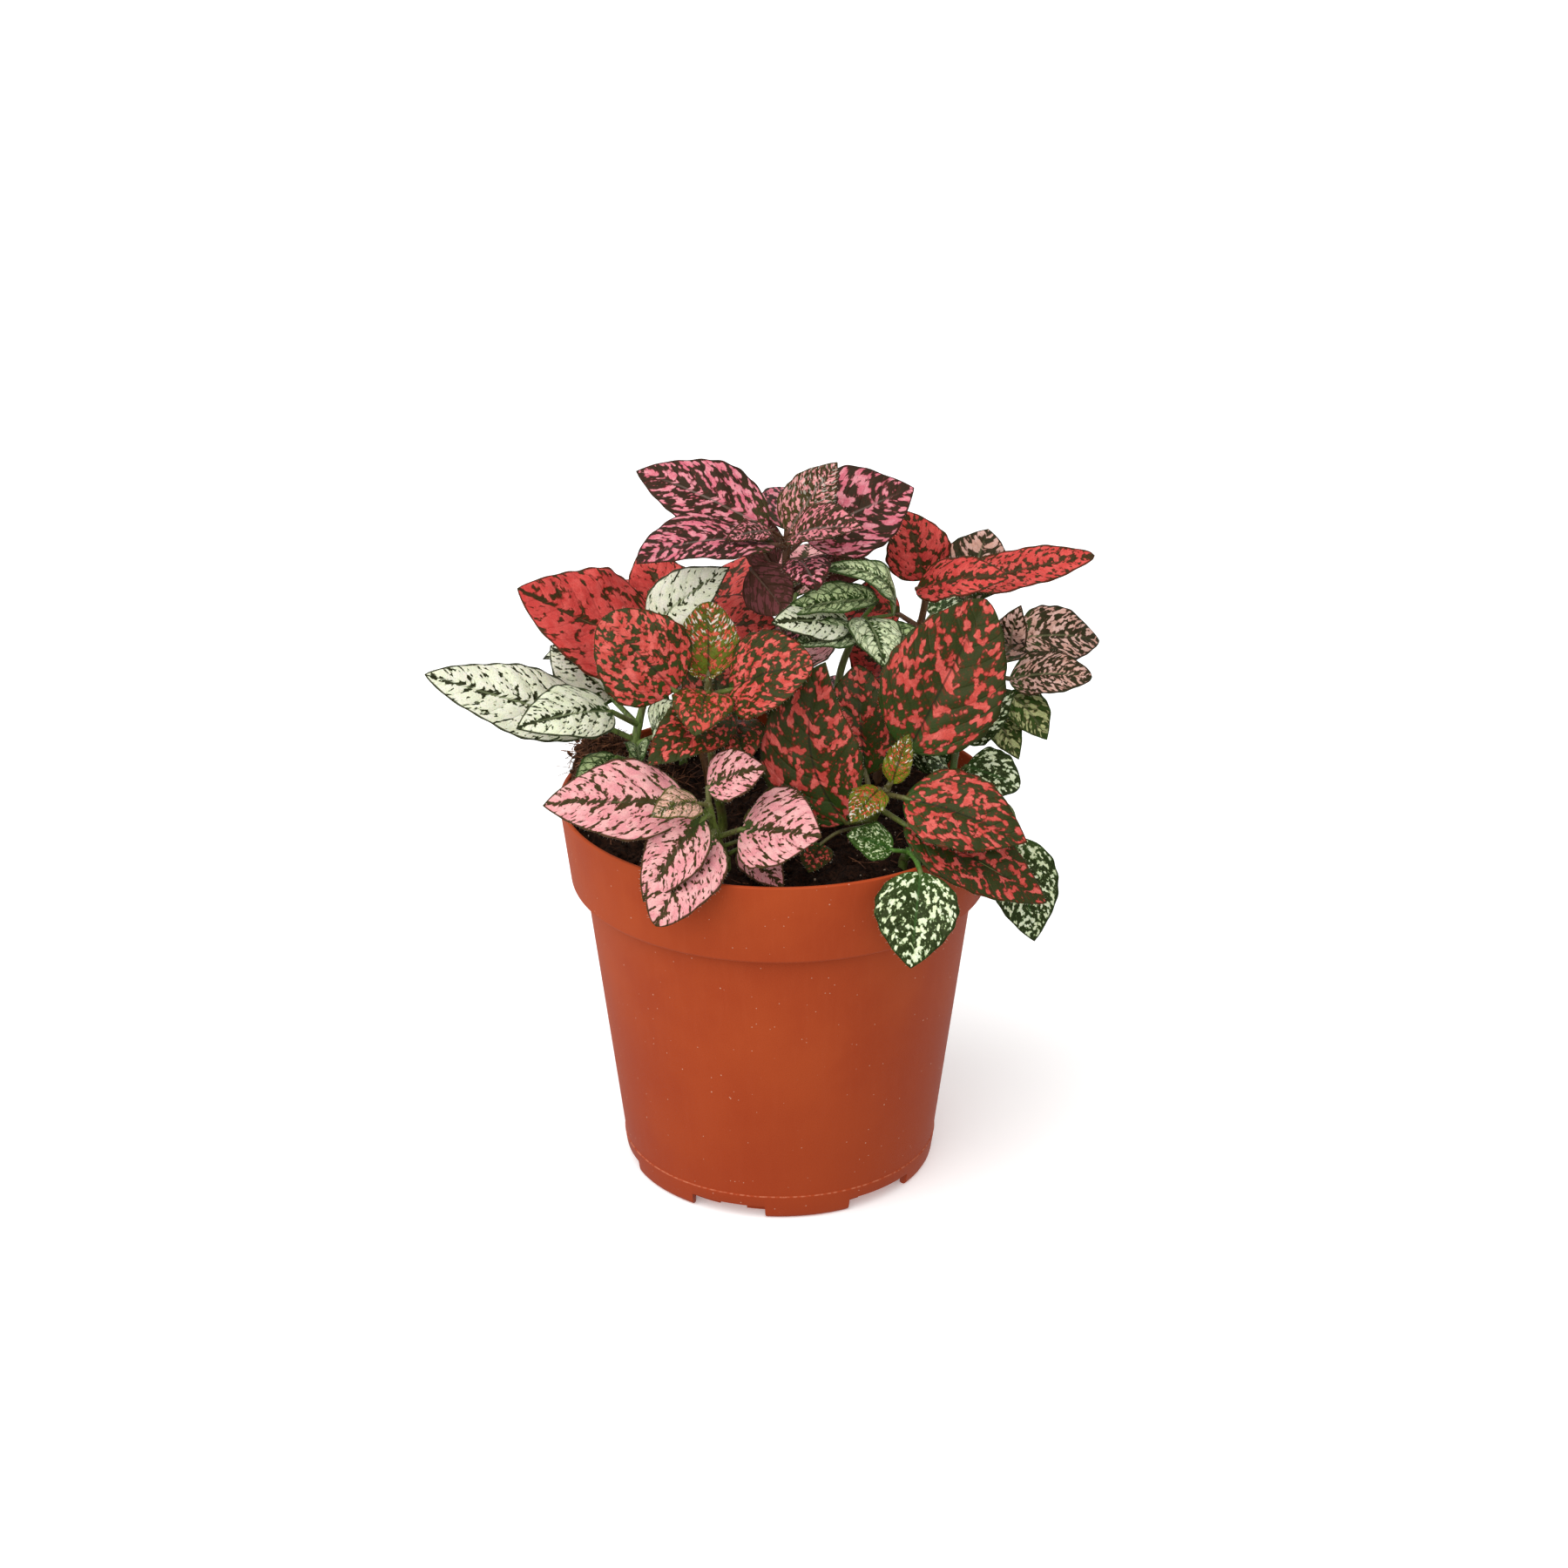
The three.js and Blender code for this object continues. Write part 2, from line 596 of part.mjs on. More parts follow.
leafyStem("leafy_stem_back_red_green", COLOURS.redOnGreen,
  [[-11, 38], [-12, 43, 101], [-13, 44, 111]],
  [
    ...leafPair({ at: [-12, 43, 101], turn: 110, length: 30, width: 19, rise: -0.15, second: 0.3 }),
    ...leafPair({ at: [-13, 44, 109], turn: 45, length: 14, width: 12, rise: 0, second: 0.9 }),
  ],
);

leafyStem("leafy_stem_back_pink", COLOURS.lightPink,
  [[0, 32], [1, 36, 110], [2, 38, 124], [3, 39, 135]],
  [
    ...leafPair({
      at: [1, 36, 112], turn: 80, length: 34, width: 21, rise: 0, second: 0.5,
    }),
    ...leafPair({ at: [2, 38, 124], turn: 170, length: 20, width: 15, rise: 0.2 }),
    ...leafPair({
      at: [3, 39, 133], turn: 80, length: 22, width: 15, rise: 0.3, second: 0.5,
    }),
  ],
);

leafyStem("leafy_stem_back_deep_pink", COLOURS.deepPink,
  [[14, 38], [16, 43, 101], [17, 44, 110]],
  [
    ...leafPair({ at: [16, 43, 101], turn: 75, length: 28, width: 18, rise: -0.15, second: 0.3 }),
    ...leafPair({ at: [17, 44, 108], turn: 165, length: 16, width: 13, rise: 0, second: 0.8 }),
  ],
);

leafyStem("leafy_stem_back_speckled", COLOURS.speckledGreen,
  [[28, 32], [32, 36, 108], [35, 39, 120], [36, 40, 130]],
  [
    ...leafPair({
      at: [32, 36, 106], turn: 45, length: 32, width: 20, rise: -0.2, second: 0.4,
    }),
    ...leafPair({ at: [35, 39, 118], turn: 135, length: 20, width: 15, rise: 0.2, second: 0.8 }),
    ...leafPair({
      at: [36, 40, 128], turn: 50, length: 20, width: 14, rise: 0.3, second: 0.5,
    }),
  ],
);

// The path of a stem from its foot in the soil, upright until it is clear of the surface.
function stemPoints(path) {
  const [[x, y], ...above] = path;
  const surface = soilTop(x, y);
  const heights = [surface - STEM.depth, surface - STEM.straight, surface + STEM.collar];
  return [...heights.map((z) => [x, y, z]), ...above];
}

function stemSolid({ path, leaves }) {
  const points = stemPoints(path);
  const curve = new THREE.CatmullRomCurve3(points.map(vec), false, "centripetal");
  const stem = solidOf(rod(points, STEM.radius, STEM.tipRadius, STEM.sides, STEM.steps));
  const blades = leaves.map((leaf) => solidOf(leafGeometry({ ...LEAF_HABIT, ...leaf }, curve)));
  return joined([stem, ...blades]);
}

function stemHole({ path }) {
  const [x, y] = path[0];
  const bottom = soilTop(x, y) - STEM.depth - SEAT_GAP;
  const radius = STEM.radius + SEAT_GAP;
  const hole = new THREE.CylinderGeometry(radius, radius, HOLE.length, HOLE.sides);
  return solidOf(hole.rotateX(Math.PI / 2).translate(x, y, bottom + HOLE.length / 2));
}

// ---- the plant in its pot ----

function named(name, solid, colour, roughness) {
  const material = new THREE.MeshStandardMaterial({ color: colour, roughness, metalness: 0 });
  const mesh = new THREE.Mesh(geometryOf(solid), material);
  mesh.name = name;
  return mesh;
}

const plant = new THREE.Group();
plant.add(named("pot", potSolid(), COLOURS.terracotta, ROUGHNESS.pot));
plant.add(named("soil", soilSolid(STEMS.map(stemHole)), COLOURS.peat, ROUGHNESS.soil));
for (const stem of STEMS) {
  plant.add(named(stem.name, stemSolid(stem), stem.colour, ROUGHNESS.leaf));
}

export default plant;
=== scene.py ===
"""A polka dot plant in a terracotta-coloured plastic pot, dressed round its CAD frame.

The tables are in millimetres, as the CAD is, and the meshes in metres.
The pot, the soil and each leafy stem stand for the CAD node of the same name.
"""

import json
import math
import random

import bpy
import numpy
from mathutils import Matrix, Vector, noise

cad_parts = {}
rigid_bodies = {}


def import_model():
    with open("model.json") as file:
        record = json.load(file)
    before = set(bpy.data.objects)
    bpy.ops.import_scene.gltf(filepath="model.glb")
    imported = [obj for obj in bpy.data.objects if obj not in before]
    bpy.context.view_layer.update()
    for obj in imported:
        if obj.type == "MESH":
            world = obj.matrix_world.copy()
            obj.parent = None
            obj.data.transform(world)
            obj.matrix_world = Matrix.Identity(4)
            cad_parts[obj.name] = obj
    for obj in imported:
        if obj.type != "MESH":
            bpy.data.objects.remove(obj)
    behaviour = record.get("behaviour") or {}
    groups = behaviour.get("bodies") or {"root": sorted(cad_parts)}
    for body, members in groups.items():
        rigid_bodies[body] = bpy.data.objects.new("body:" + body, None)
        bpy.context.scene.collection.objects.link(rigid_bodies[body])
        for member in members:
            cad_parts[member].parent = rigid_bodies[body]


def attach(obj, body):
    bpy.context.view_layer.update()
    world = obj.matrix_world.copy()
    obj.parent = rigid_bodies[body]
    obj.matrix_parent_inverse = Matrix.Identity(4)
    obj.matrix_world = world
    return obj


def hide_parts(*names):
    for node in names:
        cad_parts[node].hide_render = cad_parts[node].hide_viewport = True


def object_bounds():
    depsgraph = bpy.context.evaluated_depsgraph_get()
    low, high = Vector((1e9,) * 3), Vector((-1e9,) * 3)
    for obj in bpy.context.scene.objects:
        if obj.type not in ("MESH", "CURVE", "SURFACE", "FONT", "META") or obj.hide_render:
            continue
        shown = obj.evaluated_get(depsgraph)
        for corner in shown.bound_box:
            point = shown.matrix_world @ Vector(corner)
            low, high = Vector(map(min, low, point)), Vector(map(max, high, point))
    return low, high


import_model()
cad_low, cad_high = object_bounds()

MM = 0.001

# ---- camera, lights and floor ----

CAMERA_PLACE = (0.0011, -0.8241, 0.4635)
CAMERA_TILT = 66.3
CAMERA_LENS, CAMERA_SENSOR, CAMERA_FAR = 82.9, 36, 60
FLOOR_SIZE = 24
KEY_LIGHT = {"power": 2.7, "softness": 85, "tilt": (42, 0, -36)}
ROOM_LIGHT = 0.68

# ---- pot ----

POT_SIDES = 192
POT_HEIGHT, RIM_RADIUS, RIM_LIP = 99, 55, 1.2
COLLAR_FOOT_RADIUS, COLLAR_FOOT = 52.4, 78
WALL_TOP_RADIUS, FOOT_RADIUS, WALL = 48.8, 39.1, 1.5
FOOT_ROUND, MOULD_LINE, MOULD_STEP = 1.6, 6.5, 0.25
FLOOR_UNDER, FLOOR_TOP = 4, 5.6
RING_WALL, INNER_RING = 2, (33.2, 35)
CENTRE_FOOT = 8
NOTCHES, FIRST_NOTCH = 6, 250.5
# The cuts between the feet and those in the inner ring: middle radius, depth, width and height.
RING_CUTS = ((FOOT_RADIUS - 0.2, 6.6, 19.4, 3.6), (sum(INNER_RING) / 2, 2.6, 7.2, 3.9))
CUT_BELOW = 2
DRAIN_RING, DRAIN_RADIUS, DRAIN_CUT, DRAIN_SIDES = 22, 4, 8, 40
SOFT_EDGE, SOFT_EDGE_ANGLE, SMOOTH_ANGLE = 0.2, 50, 35

# ---- soil ----

SEAT_GAP, WALL_GAP = 0.3, 0.5
SOIL_FRONT, SOIL_CROWN, SOIL_LUMPS = 91.5, 3.5, 1.3
MOUND_HEIGHT, MOUND_CENTRE, MOUND_SIZE = 16, (-46, 13), 15
SOIL_CELLS, SOIL_BASE_ROUND = 200, 1.6
CRUMB_PITCH, GRAIN_PITCH, COARSE_MOUND = 0.42, 0.7, 1.2
CRUMBS, FIBRES, MOUND_FIBRES, PALE_BITS = 900, 150, 420, 110
# Litter is drawn in a square field and kept inside an edge. Where the heap lifts it well over
# the rim, it may lie farther out.
LITTER_FIELD, LITTER_EDGE, MOUND_LITTER_EDGE, OVER_RIM = 52, 51.5, 54.3, 2.5
MOUND_LITTER, MOUND_LITTER_SPREAD = (-42, 13), (0.55 * MOUND_SIZE, 0.6 * MOUND_SIZE)
CRUMB_RADIUS, FIBRE_RADIUS, FIBRE_CUTS = 0.5, 0.05, 5
SOIL_SEED = 11

# ---- leafy stems ----

STEM_RADIUS, STEM_TIP_RADIUS, STEM_SLIMMING = 1.5, 0.9, 0.92
STEM_FOOT_HEIGHTS = (-22, -8, 3)
STALK_RADIUS, STALK_DROP = 0.75, 4
PAIR_REACH, PAIR_RISE = 5, 2
STEM_STEPS, STALK_STEPS, RIB_STEPS, RIB_REACH = 12, 7, 12, 0.9
KNOT_SIZE, KNOT_SWELL = 1.6, 0.3
BLADE_ROWS, BLADE_COLUMNS = 56, 22
BLADE_THICKNESS, MARGIN_THICKNESS = 0.34, 0.16
FOOT_HALF_WIDTH, TIP_HALF_WIDTH = 0.65, 0.1
RIB_GROOVE, RIB_GROOVE_WIDTH = 0.3, 0.55
PLAIN_WIDTH = 27
VEIN_SLANT = 0.8
VEIN_ANGLE = math.atan(VEIN_SLANT)
VEIN_OFFSET = 0.35
WAVES, WAVE_OFFSET, SCALLOP, PUFF, UNREST = 14, 1.3, 0.018, 0.045, 0.05
HAIR_RADIUS = 0.028
MARGIN_HAIR_STEP, MARGIN_HAIR_LENGTHS = 0.8, (0.3, 0.75)
STEM_HAIR_STEP, STEM_HAIR_LENGTHS = 0.3, (0.4, 0.9)
FIRST_STEM_SEED, LEAVES_AT_MOST = 100, 20


def leaf(foot, tip, width, face=(0, -0.6, 0.8), arch=2, bend=0, fold=0.12, wave=0.5, via=(),
         young=0, blunt=0.25, rich=0, fine=1):
    """One leaf: its blade's foot and tip, its width, and how it is held.

    face is the way the upper side looks, arch and bend how far the rib bows upwards and sideways,
    fold how much the margins rise for each millimetre out, wave the waves' height, via points that
    the stalk passes. young is 1 on a leaf that has just opened, blunt 1 on one with a round tip,
    rich 1 on one with much more pigment than the other leaves of its stem, and fine more than 1 on
    one with finer blotches. Small and young leaves have finer ones too, because the marks grow with
    the leaf.
    """
    fineness = fine * (1 + 0.6 * young) * (PLAIN_WIDTH / width) ** 0.8
    return {
        "foot": Vector(foot), "tip": Vector(tip), "width": width, "face": Vector(face),
        "arch": arch, "bend": bend, "fold": fold, "wave": wave,
        "via": [Vector(point) for point in via], "young": young, "blunt": blunt,
        "rich": rich, "fineness": fineness,
    }


def leaf_pair(at, turn, length, width, rise, second=1):
    """Two opposite leaves that spring from one height of a stem.

    turn is the first one's bearing in degrees, rise how steeply both climb, and second the size of
    the other one beside the first.
    """
    pair = []
    for way, size in ((1, 1), (-1, second)):
        angle = math.radians(turn)
        out = Vector((way * math.cos(angle), way * math.sin(angle), 0))
        foot = Vector(at) + PAIR_REACH * out + Vector((0, 0, PAIR_RISE))
        tip = foot + length * size * (out + Vector((0, 0, rise)))
        face = 0.35 * out + Vector((0, 0, 0.9))
        pair.append(leaf(foot, tip, width * size, face=face, arch=length * size * 0.08))
    return pair


# Each leafy stem: its look, where it stands and the points that it rises through, and its leaves.
LEAFY_STEMS = {
    "deep_pink": ("deep pink", [(2, 10), (1, 9, 120), (1, 7, 145), (2, 5, 168)], [
        leaf((-3, 6, 167), (-35, 14, 179), 21),
        leaf((-1, 0, 165), (-34, -16, 166), 22, face=(0, -0.25, 1), bend=3, blunt=0.4),
        leaf((-2, 2, 168), (-13, -8, 169), 7, arch=1, young=0.2),
        leaf((2, 3, 167), (14, 6, 184), 14, face=(-0.5, -0.8, 0.2), arch=1, young=0.8),
        leaf((6, 8, 164), (33, 16, 174), 27, arch=1),
        leaf((3, 0, 167), (20, -14, 174), 13, fold=0.35, young=0.3),
        leaf((-7, 5, 157), (2, -3, 148), 14, face=(0.2, 1, -0.3), arch=1),
        leaf((6, 6, 153), (24, 8, 157), 11, face=(0, 1, 0.2), arch=1),
        leaf((5, 1, 161), (9, -18, 160), 12, arch=1),
        leaf((3, 10, 165), (10, 44, 164), 24, face=(0.1, 0.4, 0.9)),
        leaf((-1, 11, 155), (-14, 17, 167), 15, face=(-0.3, 0.7, 0.6)),
        *leaf_pair((1, 8, 128), 275, 26, 19, 0.1, 0.8),
    ]),
    "red_left": ("red", [(-18, 14), (-22, 16, 112), (-25, 18, 128), (-27, 18, 138)], [
        leaf((-30, 12, 134), (-64, 2, 153), 31, arch=1, bend=-2, blunt=0.4, rich=1),
        leaf((-27, 20, 138), (-35, 28, 153), 17, rich=1),
        leaf((-21, 17, 136), (0, 8, 141), 17, rich=1),
        leaf((-28, 23, 134), (-46, 52, 136), 24, face=(-0.2, 0.4, 0.9)),
        leaf((-20, 24, 130), (-8, 50, 144), 22, face=(0, 0.4, 0.9)),
    ]),
    "white_left": ("white", [(-33, -1), (-36, -3, 108), (-34, -1, 122), (-28, 3, 137)], [
        leaf((-45, -4, 120), (-86, -12, 136), 20, arch=1, bend=-1, blunt=0.5),
        leaf((-41, -9, 125), (-63, -27, 128), 17, young=0.15),
        leaf((-41, 3, 123), (-57, 12, 134), 17),
        leaf((-32, 1, 143), (-12, -2, 160), 15, face=(-0.4, -0.8, 0.4), blunt=0, rich=1.2),
        leaf((-31, -6, 117), (-24, -14, 129), 12, young=0.3),
        leaf((-40, -9, 113), (-50, -20, 109), 9, arch=1, young=1),
        leaf((-35, -7, 115), (-34, -17, 114), 6, arch=1, fold=0.8, young=0.7),
    ]),
    "white_middle": ("white", [(13, 2), (14, 3, 115), (15, 4, 130), (20, 4, 144)], [
        leaf((28, 5, 145), (9, -3, 160), 9, face=(0.7, -0.4, 0.6), arch=8, young=0.75),
        leaf((24, 2, 150), (0, -6, 149), 9, fold=0.5, young=0.9),
        leaf((17, -1, 145), (-2, -11, 149), 13, arch=1, young=0.15),
        leaf((21, 0, 146), (25, -15, 139), 14, face=(0.3, -0.7, 0.6), young=0.5),
        leaf((20, -2, 142), (3, -11, 143), 9, arch=1, fold=0.5, young=0.6),
        leaf((25, 3, 141), (36, -6, 140), 9, arch=1, young=1),
    ]),
    "red_green_front": ("red on green", [
        (-14, -13), (-16, -17, 112), (-17, -22, 130), (-17, -24, 140),
    ], [
        leaf((-25, -25, 137), (-42, -20, 154), 24, face=(-0.2, -0.8, 0.6), blunt=1, rich=1.4,
             fine=1.45),
        leaf((-17, -22, 140), (-17, -15, 156), 15, arch=1, blunt=1, young=0.6),
        leaf((-12, -27, 138), (8, -33, 147), 24, blunt=1, rich=0.8, fine=1.4),
        leaf((-17, -28, 138), (-20, -41, 132), 15, young=0.15, rich=0.8, fine=1.1),
        leaf((-12, -21, 130), (-31, -42, 125), 16),
        leaf((-11, -21, 127), (-8, -35, 122), 13),
        leaf((-15, -17, 126), (-16, 2, 136), 17),
        leaf((-16, -25, 141), (-14, -29, 143), 4, arch=0, young=1),
        leaf((-19, -25, 141), (-21, -29, 143), 4, arch=0, young=1),
    ]),
    "light_pink": ("light pink", [(-13, -33), (-15, -37, 104), (-17, -41, 115)], [
        leaf((-22, -41, 114), (-56, -43, 115), 22),
        leaf((-19, -44, 116), (-30, -54, 117), 10, young=0.8),
        leaf((-17, -39, 118), (-3, -39, 123), 14),
        leaf((-9, -41, 108), (10, -50, 110), 24, arch=1),
        leaf((-18, -46, 113), (-32, -56, 96), 15),
        leaf((-16, -45, 108), (-29, -61, 92), 18, blunt=0.9),
        leaf((-9, -36, 101), (1, -47, 95), 10, arch=1),
        leaf((-6, -38, 105), (-1, -34, 111), 9, arch=1, young=0.6),
    ]),
    "red_green_right": ("red on green", [(20, -20), (22, -25, 102), (26, -30, 114)], [
        leaf((31, -24, 121), (50, -8, 154), 30, face=(0.1, -0.9, 0.4), blunt=0.7),
        leaf((16, -33, 106), (11, -24, 144), 25, face=(-0.2, -0.9, 0.3), bend=-6),
        leaf((21, -20, 113), (19, -8, 137), 20, face=(-0.2, -0.9, 0.4), blunt=0.6),
        leaf((30, -34, 113), (59, -42, 105), 22, blunt=0.15, rich=0.5),
        leaf((30, -36, 107), (64, -42, 89), 19, blunt=0.4),
        leaf((27, -32, 116), (31, -30, 128), 7, arch=1, young=1),
        leaf((24, -33, 115), (17, -44, 111), 9, arch=1, young=1),
        leaf((10, -34, 101), (7, -44, 98), 8, arch=0, via=[(14, -32, 103)]),
    ]),
    "speckled_front": ("speckled green", [(30, -32), (31, -35, 98), (31, -38, 101)], [
        leaf((33.5, -48, 100), (31, -61, 81), 20, via=[(32.5, -42, 100.5)]),
        leaf((27, -40, 102), (16, -40, 106), 10, arch=1, young=0.5),
    ]),
    "speckled_right": ("speckled green", [(39, -9), (42, -6, 103), (44, 0, 114)], [
        leaf((58, -13, 93), (63, -22, 69), 17, via=[(51, -10, 103), (57, -12, 100)]),
        leaf((46, -8, 110), (59, -12, 106), 14, arch=1, blunt=1),
        leaf((45, 1, 114), (58, -1, 127), 14, arch=1),
        leaf((40, -3, 107), (33, 0, 117), 12),
        leaf((42, -6, 107), (36, -13, 112), 11, arch=1, blunt=0.6),
    ]),
    "red_right": ("red", [(25, 19), (31, 21, 118), (35, 22, 134), (37, 22, 145)], [
        leaf((36, 24, 147), (31, 28, 164), 17),
        leaf((34, 15, 148), (56, 4, 155), 13, blunt=0.6, fine=0.85),
        leaf((45, 23, 146), (79, 28, 152), 12, arch=1, blunt=1),
        leaf((30, 18, 140), (14, 20, 140), 16),
        leaf((35, 15, 125), (44, -4, 128), 17),
        leaf((28, 18, 125), (17, 10, 138), 14, face=(-0.2, -0.9, 0.4)),
    ]),
    "dusky_pink": ("dusky pink", [(39, 10), (46, 10, 114), (53, 9, 128), (55, 8, 133)], [
        leaf((57, 6, 136), (59, 1, 149), 9, rich=1.2, fine=0.7),
        leaf((59, 12, 136), (80, 18, 133), 17, blunt=0.5),
        leaf((57, 5, 128), (77, 1, 130), 13, blunt=1),
        leaf((57, 4, 125), (66, -3, 115), 11, young=1, fine=0.4),
        leaf((52, 4, 121), (59, -6, 111), 9, arch=1, young=1, fine=0.4),
        leaf((52, 14, 128), (58, 38, 128), 20, face=(0.2, 0.4, 0.9)),
        leaf((47, 28, 140), (53, 42, 154), 18, via=[(52, 22, 137)], fine=0.7),
    ]),
    "back_white": ("white", [(-25, 30), (-29, 36, 108), (-31, 39, 120)], [
        *leaf_pair((-29, 36, 106), 120, 32, 20, -0.1, 0.5),
        *leaf_pair((-31, 39, 118), 200, 26, 18, 0.15),
    ]),
    "back_red_green": ("red on green", [(-11, 38), (-12, 43, 101), (-13, 44, 111)], [
        *leaf_pair((-12, 43, 101), 110, 30, 19, -0.15, 0.3),
        *leaf_pair((-13, 44, 109), 45, 14, 12, 0, 0.9),
    ]),
    "back_pink": ("light pink", [(0, 32), (1, 36, 110), (2, 38, 124), (3, 39, 135)], [
        *leaf_pair((1, 36, 112), 80, 34, 21, 0, 0.5),
        *leaf_pair((2, 38, 124), 170, 20, 15, 0.2),
        *leaf_pair((3, 39, 133), 80, 22, 15, 0.3, 0.5),
    ]),
    "back_deep_pink": ("deep pink", [(14, 38), (16, 43, 101), (17, 44, 110)], [
        *leaf_pair((16, 43, 101), 75, 28, 18, -0.15, 0.3),
        *leaf_pair((17, 44, 108), 165, 16, 13, 0, 0.8),
    ]),
    "back_speckled": ("speckled green", [(28, 32), (32, 36, 108), (35, 39, 120), (36, 40, 130)], [
        *leaf_pair((32, 36, 106), 45, 32, 20, -0.2, 0.4),
        *leaf_pair((35, 39, 118), 135, 20, 15, 0.2, 0.8),
        *leaf_pair((36, 40, 128), 50, 20, 14, 0.3, 0.5),
    ]),
}

# How each colour of plant is marked. Pigment lies in blotches over green: level is what the pattern
# must pass to be pigment, so a low one covers more. blotch is a blotch's size, stretch its length
# along the side veins, ragged how torn its edge is. rib, vein and rim say how strongly the green
# keeps to the midrib, the side veins and the margin, and rim_width how wide that margin is. dot is
# the size of the dots that blotches are made up of, glow how far their fringe tints the green,
# glint how strongly a painted highlight whitens a young leaf's crinkles, netted how strongly a net
# of green lines covers a young leaf, and rough how dull a leaf is.
LEAF_LOOKS = {
    "deep pink": dict(
        slot="leaf_deep_pink", pigment="d56c7e", pale="e2929c", fringe="641a1e",
        green="2e1c10", bright_green="3c3a18", young_pigment="f0a8a4",
        young_green="4a4820", under="5a3328",
        level=0.455, blotch=1.9, stretch=1.8, ragged=0.5, rib=0.09, vein=0,
        rim=0.05, rim_width=1.2, dot=1.05, glow=0.4, glint=0.45,
        rough=0.5, rib_line="7a6a62", netted=0.3, stalk="5a3a22",
    ),
    "red": dict(
        slot="leaf_red", pigment="cd423e", pale="da5650", fringe="74190f",
        green="3a2a0e", bright_green="40400f", young_pigment="e06a58",
        young_green="66702f", under="7a3a34",
        level=0.345, blotch=2.1, stretch=1.3, ragged=0.6, rib=0.33, vein=0.09,
        rim=0.08, rim_width=1, dot=1, glow=0.5, glint=0.3,
        rough=0.45, rib_line="4a3a22", netted=0.2, stalk="6e4a26",
    ),
    "white": dict(
        slot="leaf_white", pigment="ecefd2", pale="f2f0de", fringe="a9b488",
        green="1e230a", bright_green="3d5a24", young_pigment="d0e89c",
        young_green="2f4f16", under="a9b58c",
        level=0.285, blotch=1.4, stretch=1.8, ragged=0.6, rib=0.38, vein=0.13,
        rim=0.1, rim_width=0.7, dot=0.85, glow=0.1, glint=0,
        rough=0.5, rib_line="8f9a70", netted=0.85, stalk="6f8a3c",
    ),
    "red on green": dict(
        slot="leaf_red_on_green", pigment="c4463e", pale="d8625a", fringe="701408",
        green="2c3410", bright_green="2c4a16", young_pigment="d8583c",
        young_green="76821c", under="5d3d2a",
        level=0.48, blotch=2.6, stretch=1, ragged=0.35, rib=0.06, vein=0,
        rim=0.07, rim_width=1.8, dot=1.4, glow=0.5, glint=0.8,
        rough=0.38, rib_line="15110a", netted=0.25, stalk="5d6a24",
    ),
    "light pink": dict(
        slot="leaf_light_pink", pigment="e2959a", pale="eaaeac", fringe="8a4a44",
        green="392e10", bright_green="3d5a26", young_pigment="f0c0a6",
        young_green="5d6a2a", under="a8726a",
        level=0.3, blotch=1.3, stretch=1.8, ragged=0.6, rib=0.42, vein=0.17,
        rim=0.08, rim_width=0.8, dot=0.8, glow=0.2, glint=0.2,
        rough=0.5, rib_line="3a3a22", netted=0.4, stalk="667a30",
    ),
    "speckled green": dict(
        slot="leaf_speckled_green", pigment="e0eabf", pale="e9f0d2", fringe="7f9a5c",
        green="20300a", bright_green="2a4a10", young_pigment="c9dc98",
        young_green="3d6a1c", under="5a7040",
        level=0.485, blotch=1.9, stretch=1, ragged=0.2, rib=0.07, vein=0.02,
        rim=0.1, rim_width=1.2, dot=0.95, glow=0.25, glint=0,
        rough=0.42, rib_line="2f5a22", netted=0.4, stalk="4f7a28",
    ),
    "dusky pink": dict(
        slot="leaf_dusky_pink", pigment="c89989", pale="d6aea2", fringe="5c3026",
        green="26240c", bright_green="3c5526", young_pigment="bcc884",
        young_green="3a5c1c", under="6b5040",
        level=0.445, blotch=1.5, stretch=2, ragged=0.5, rib=0.07, vein=0.03,
        rim=0.06, rim_width=1, dot=1, glow=0.3, glint=0,
        rough=0.48, rib_line="6a6a4a", netted=0.3, stalk="5a5a2c",
    ),
}


# ---- finishes ----


def colour(code):
    """A web colour as Blender's linear one."""
    shades = [int(code[at : at + 2], 16) / 255 for at in (0, 2, 4)]
    linear = [s / 12.92 if s <= 0.04045 else ((s + 0.055) / 1.055) ** 2.4 for s in shades]
    return (*linear, 1)


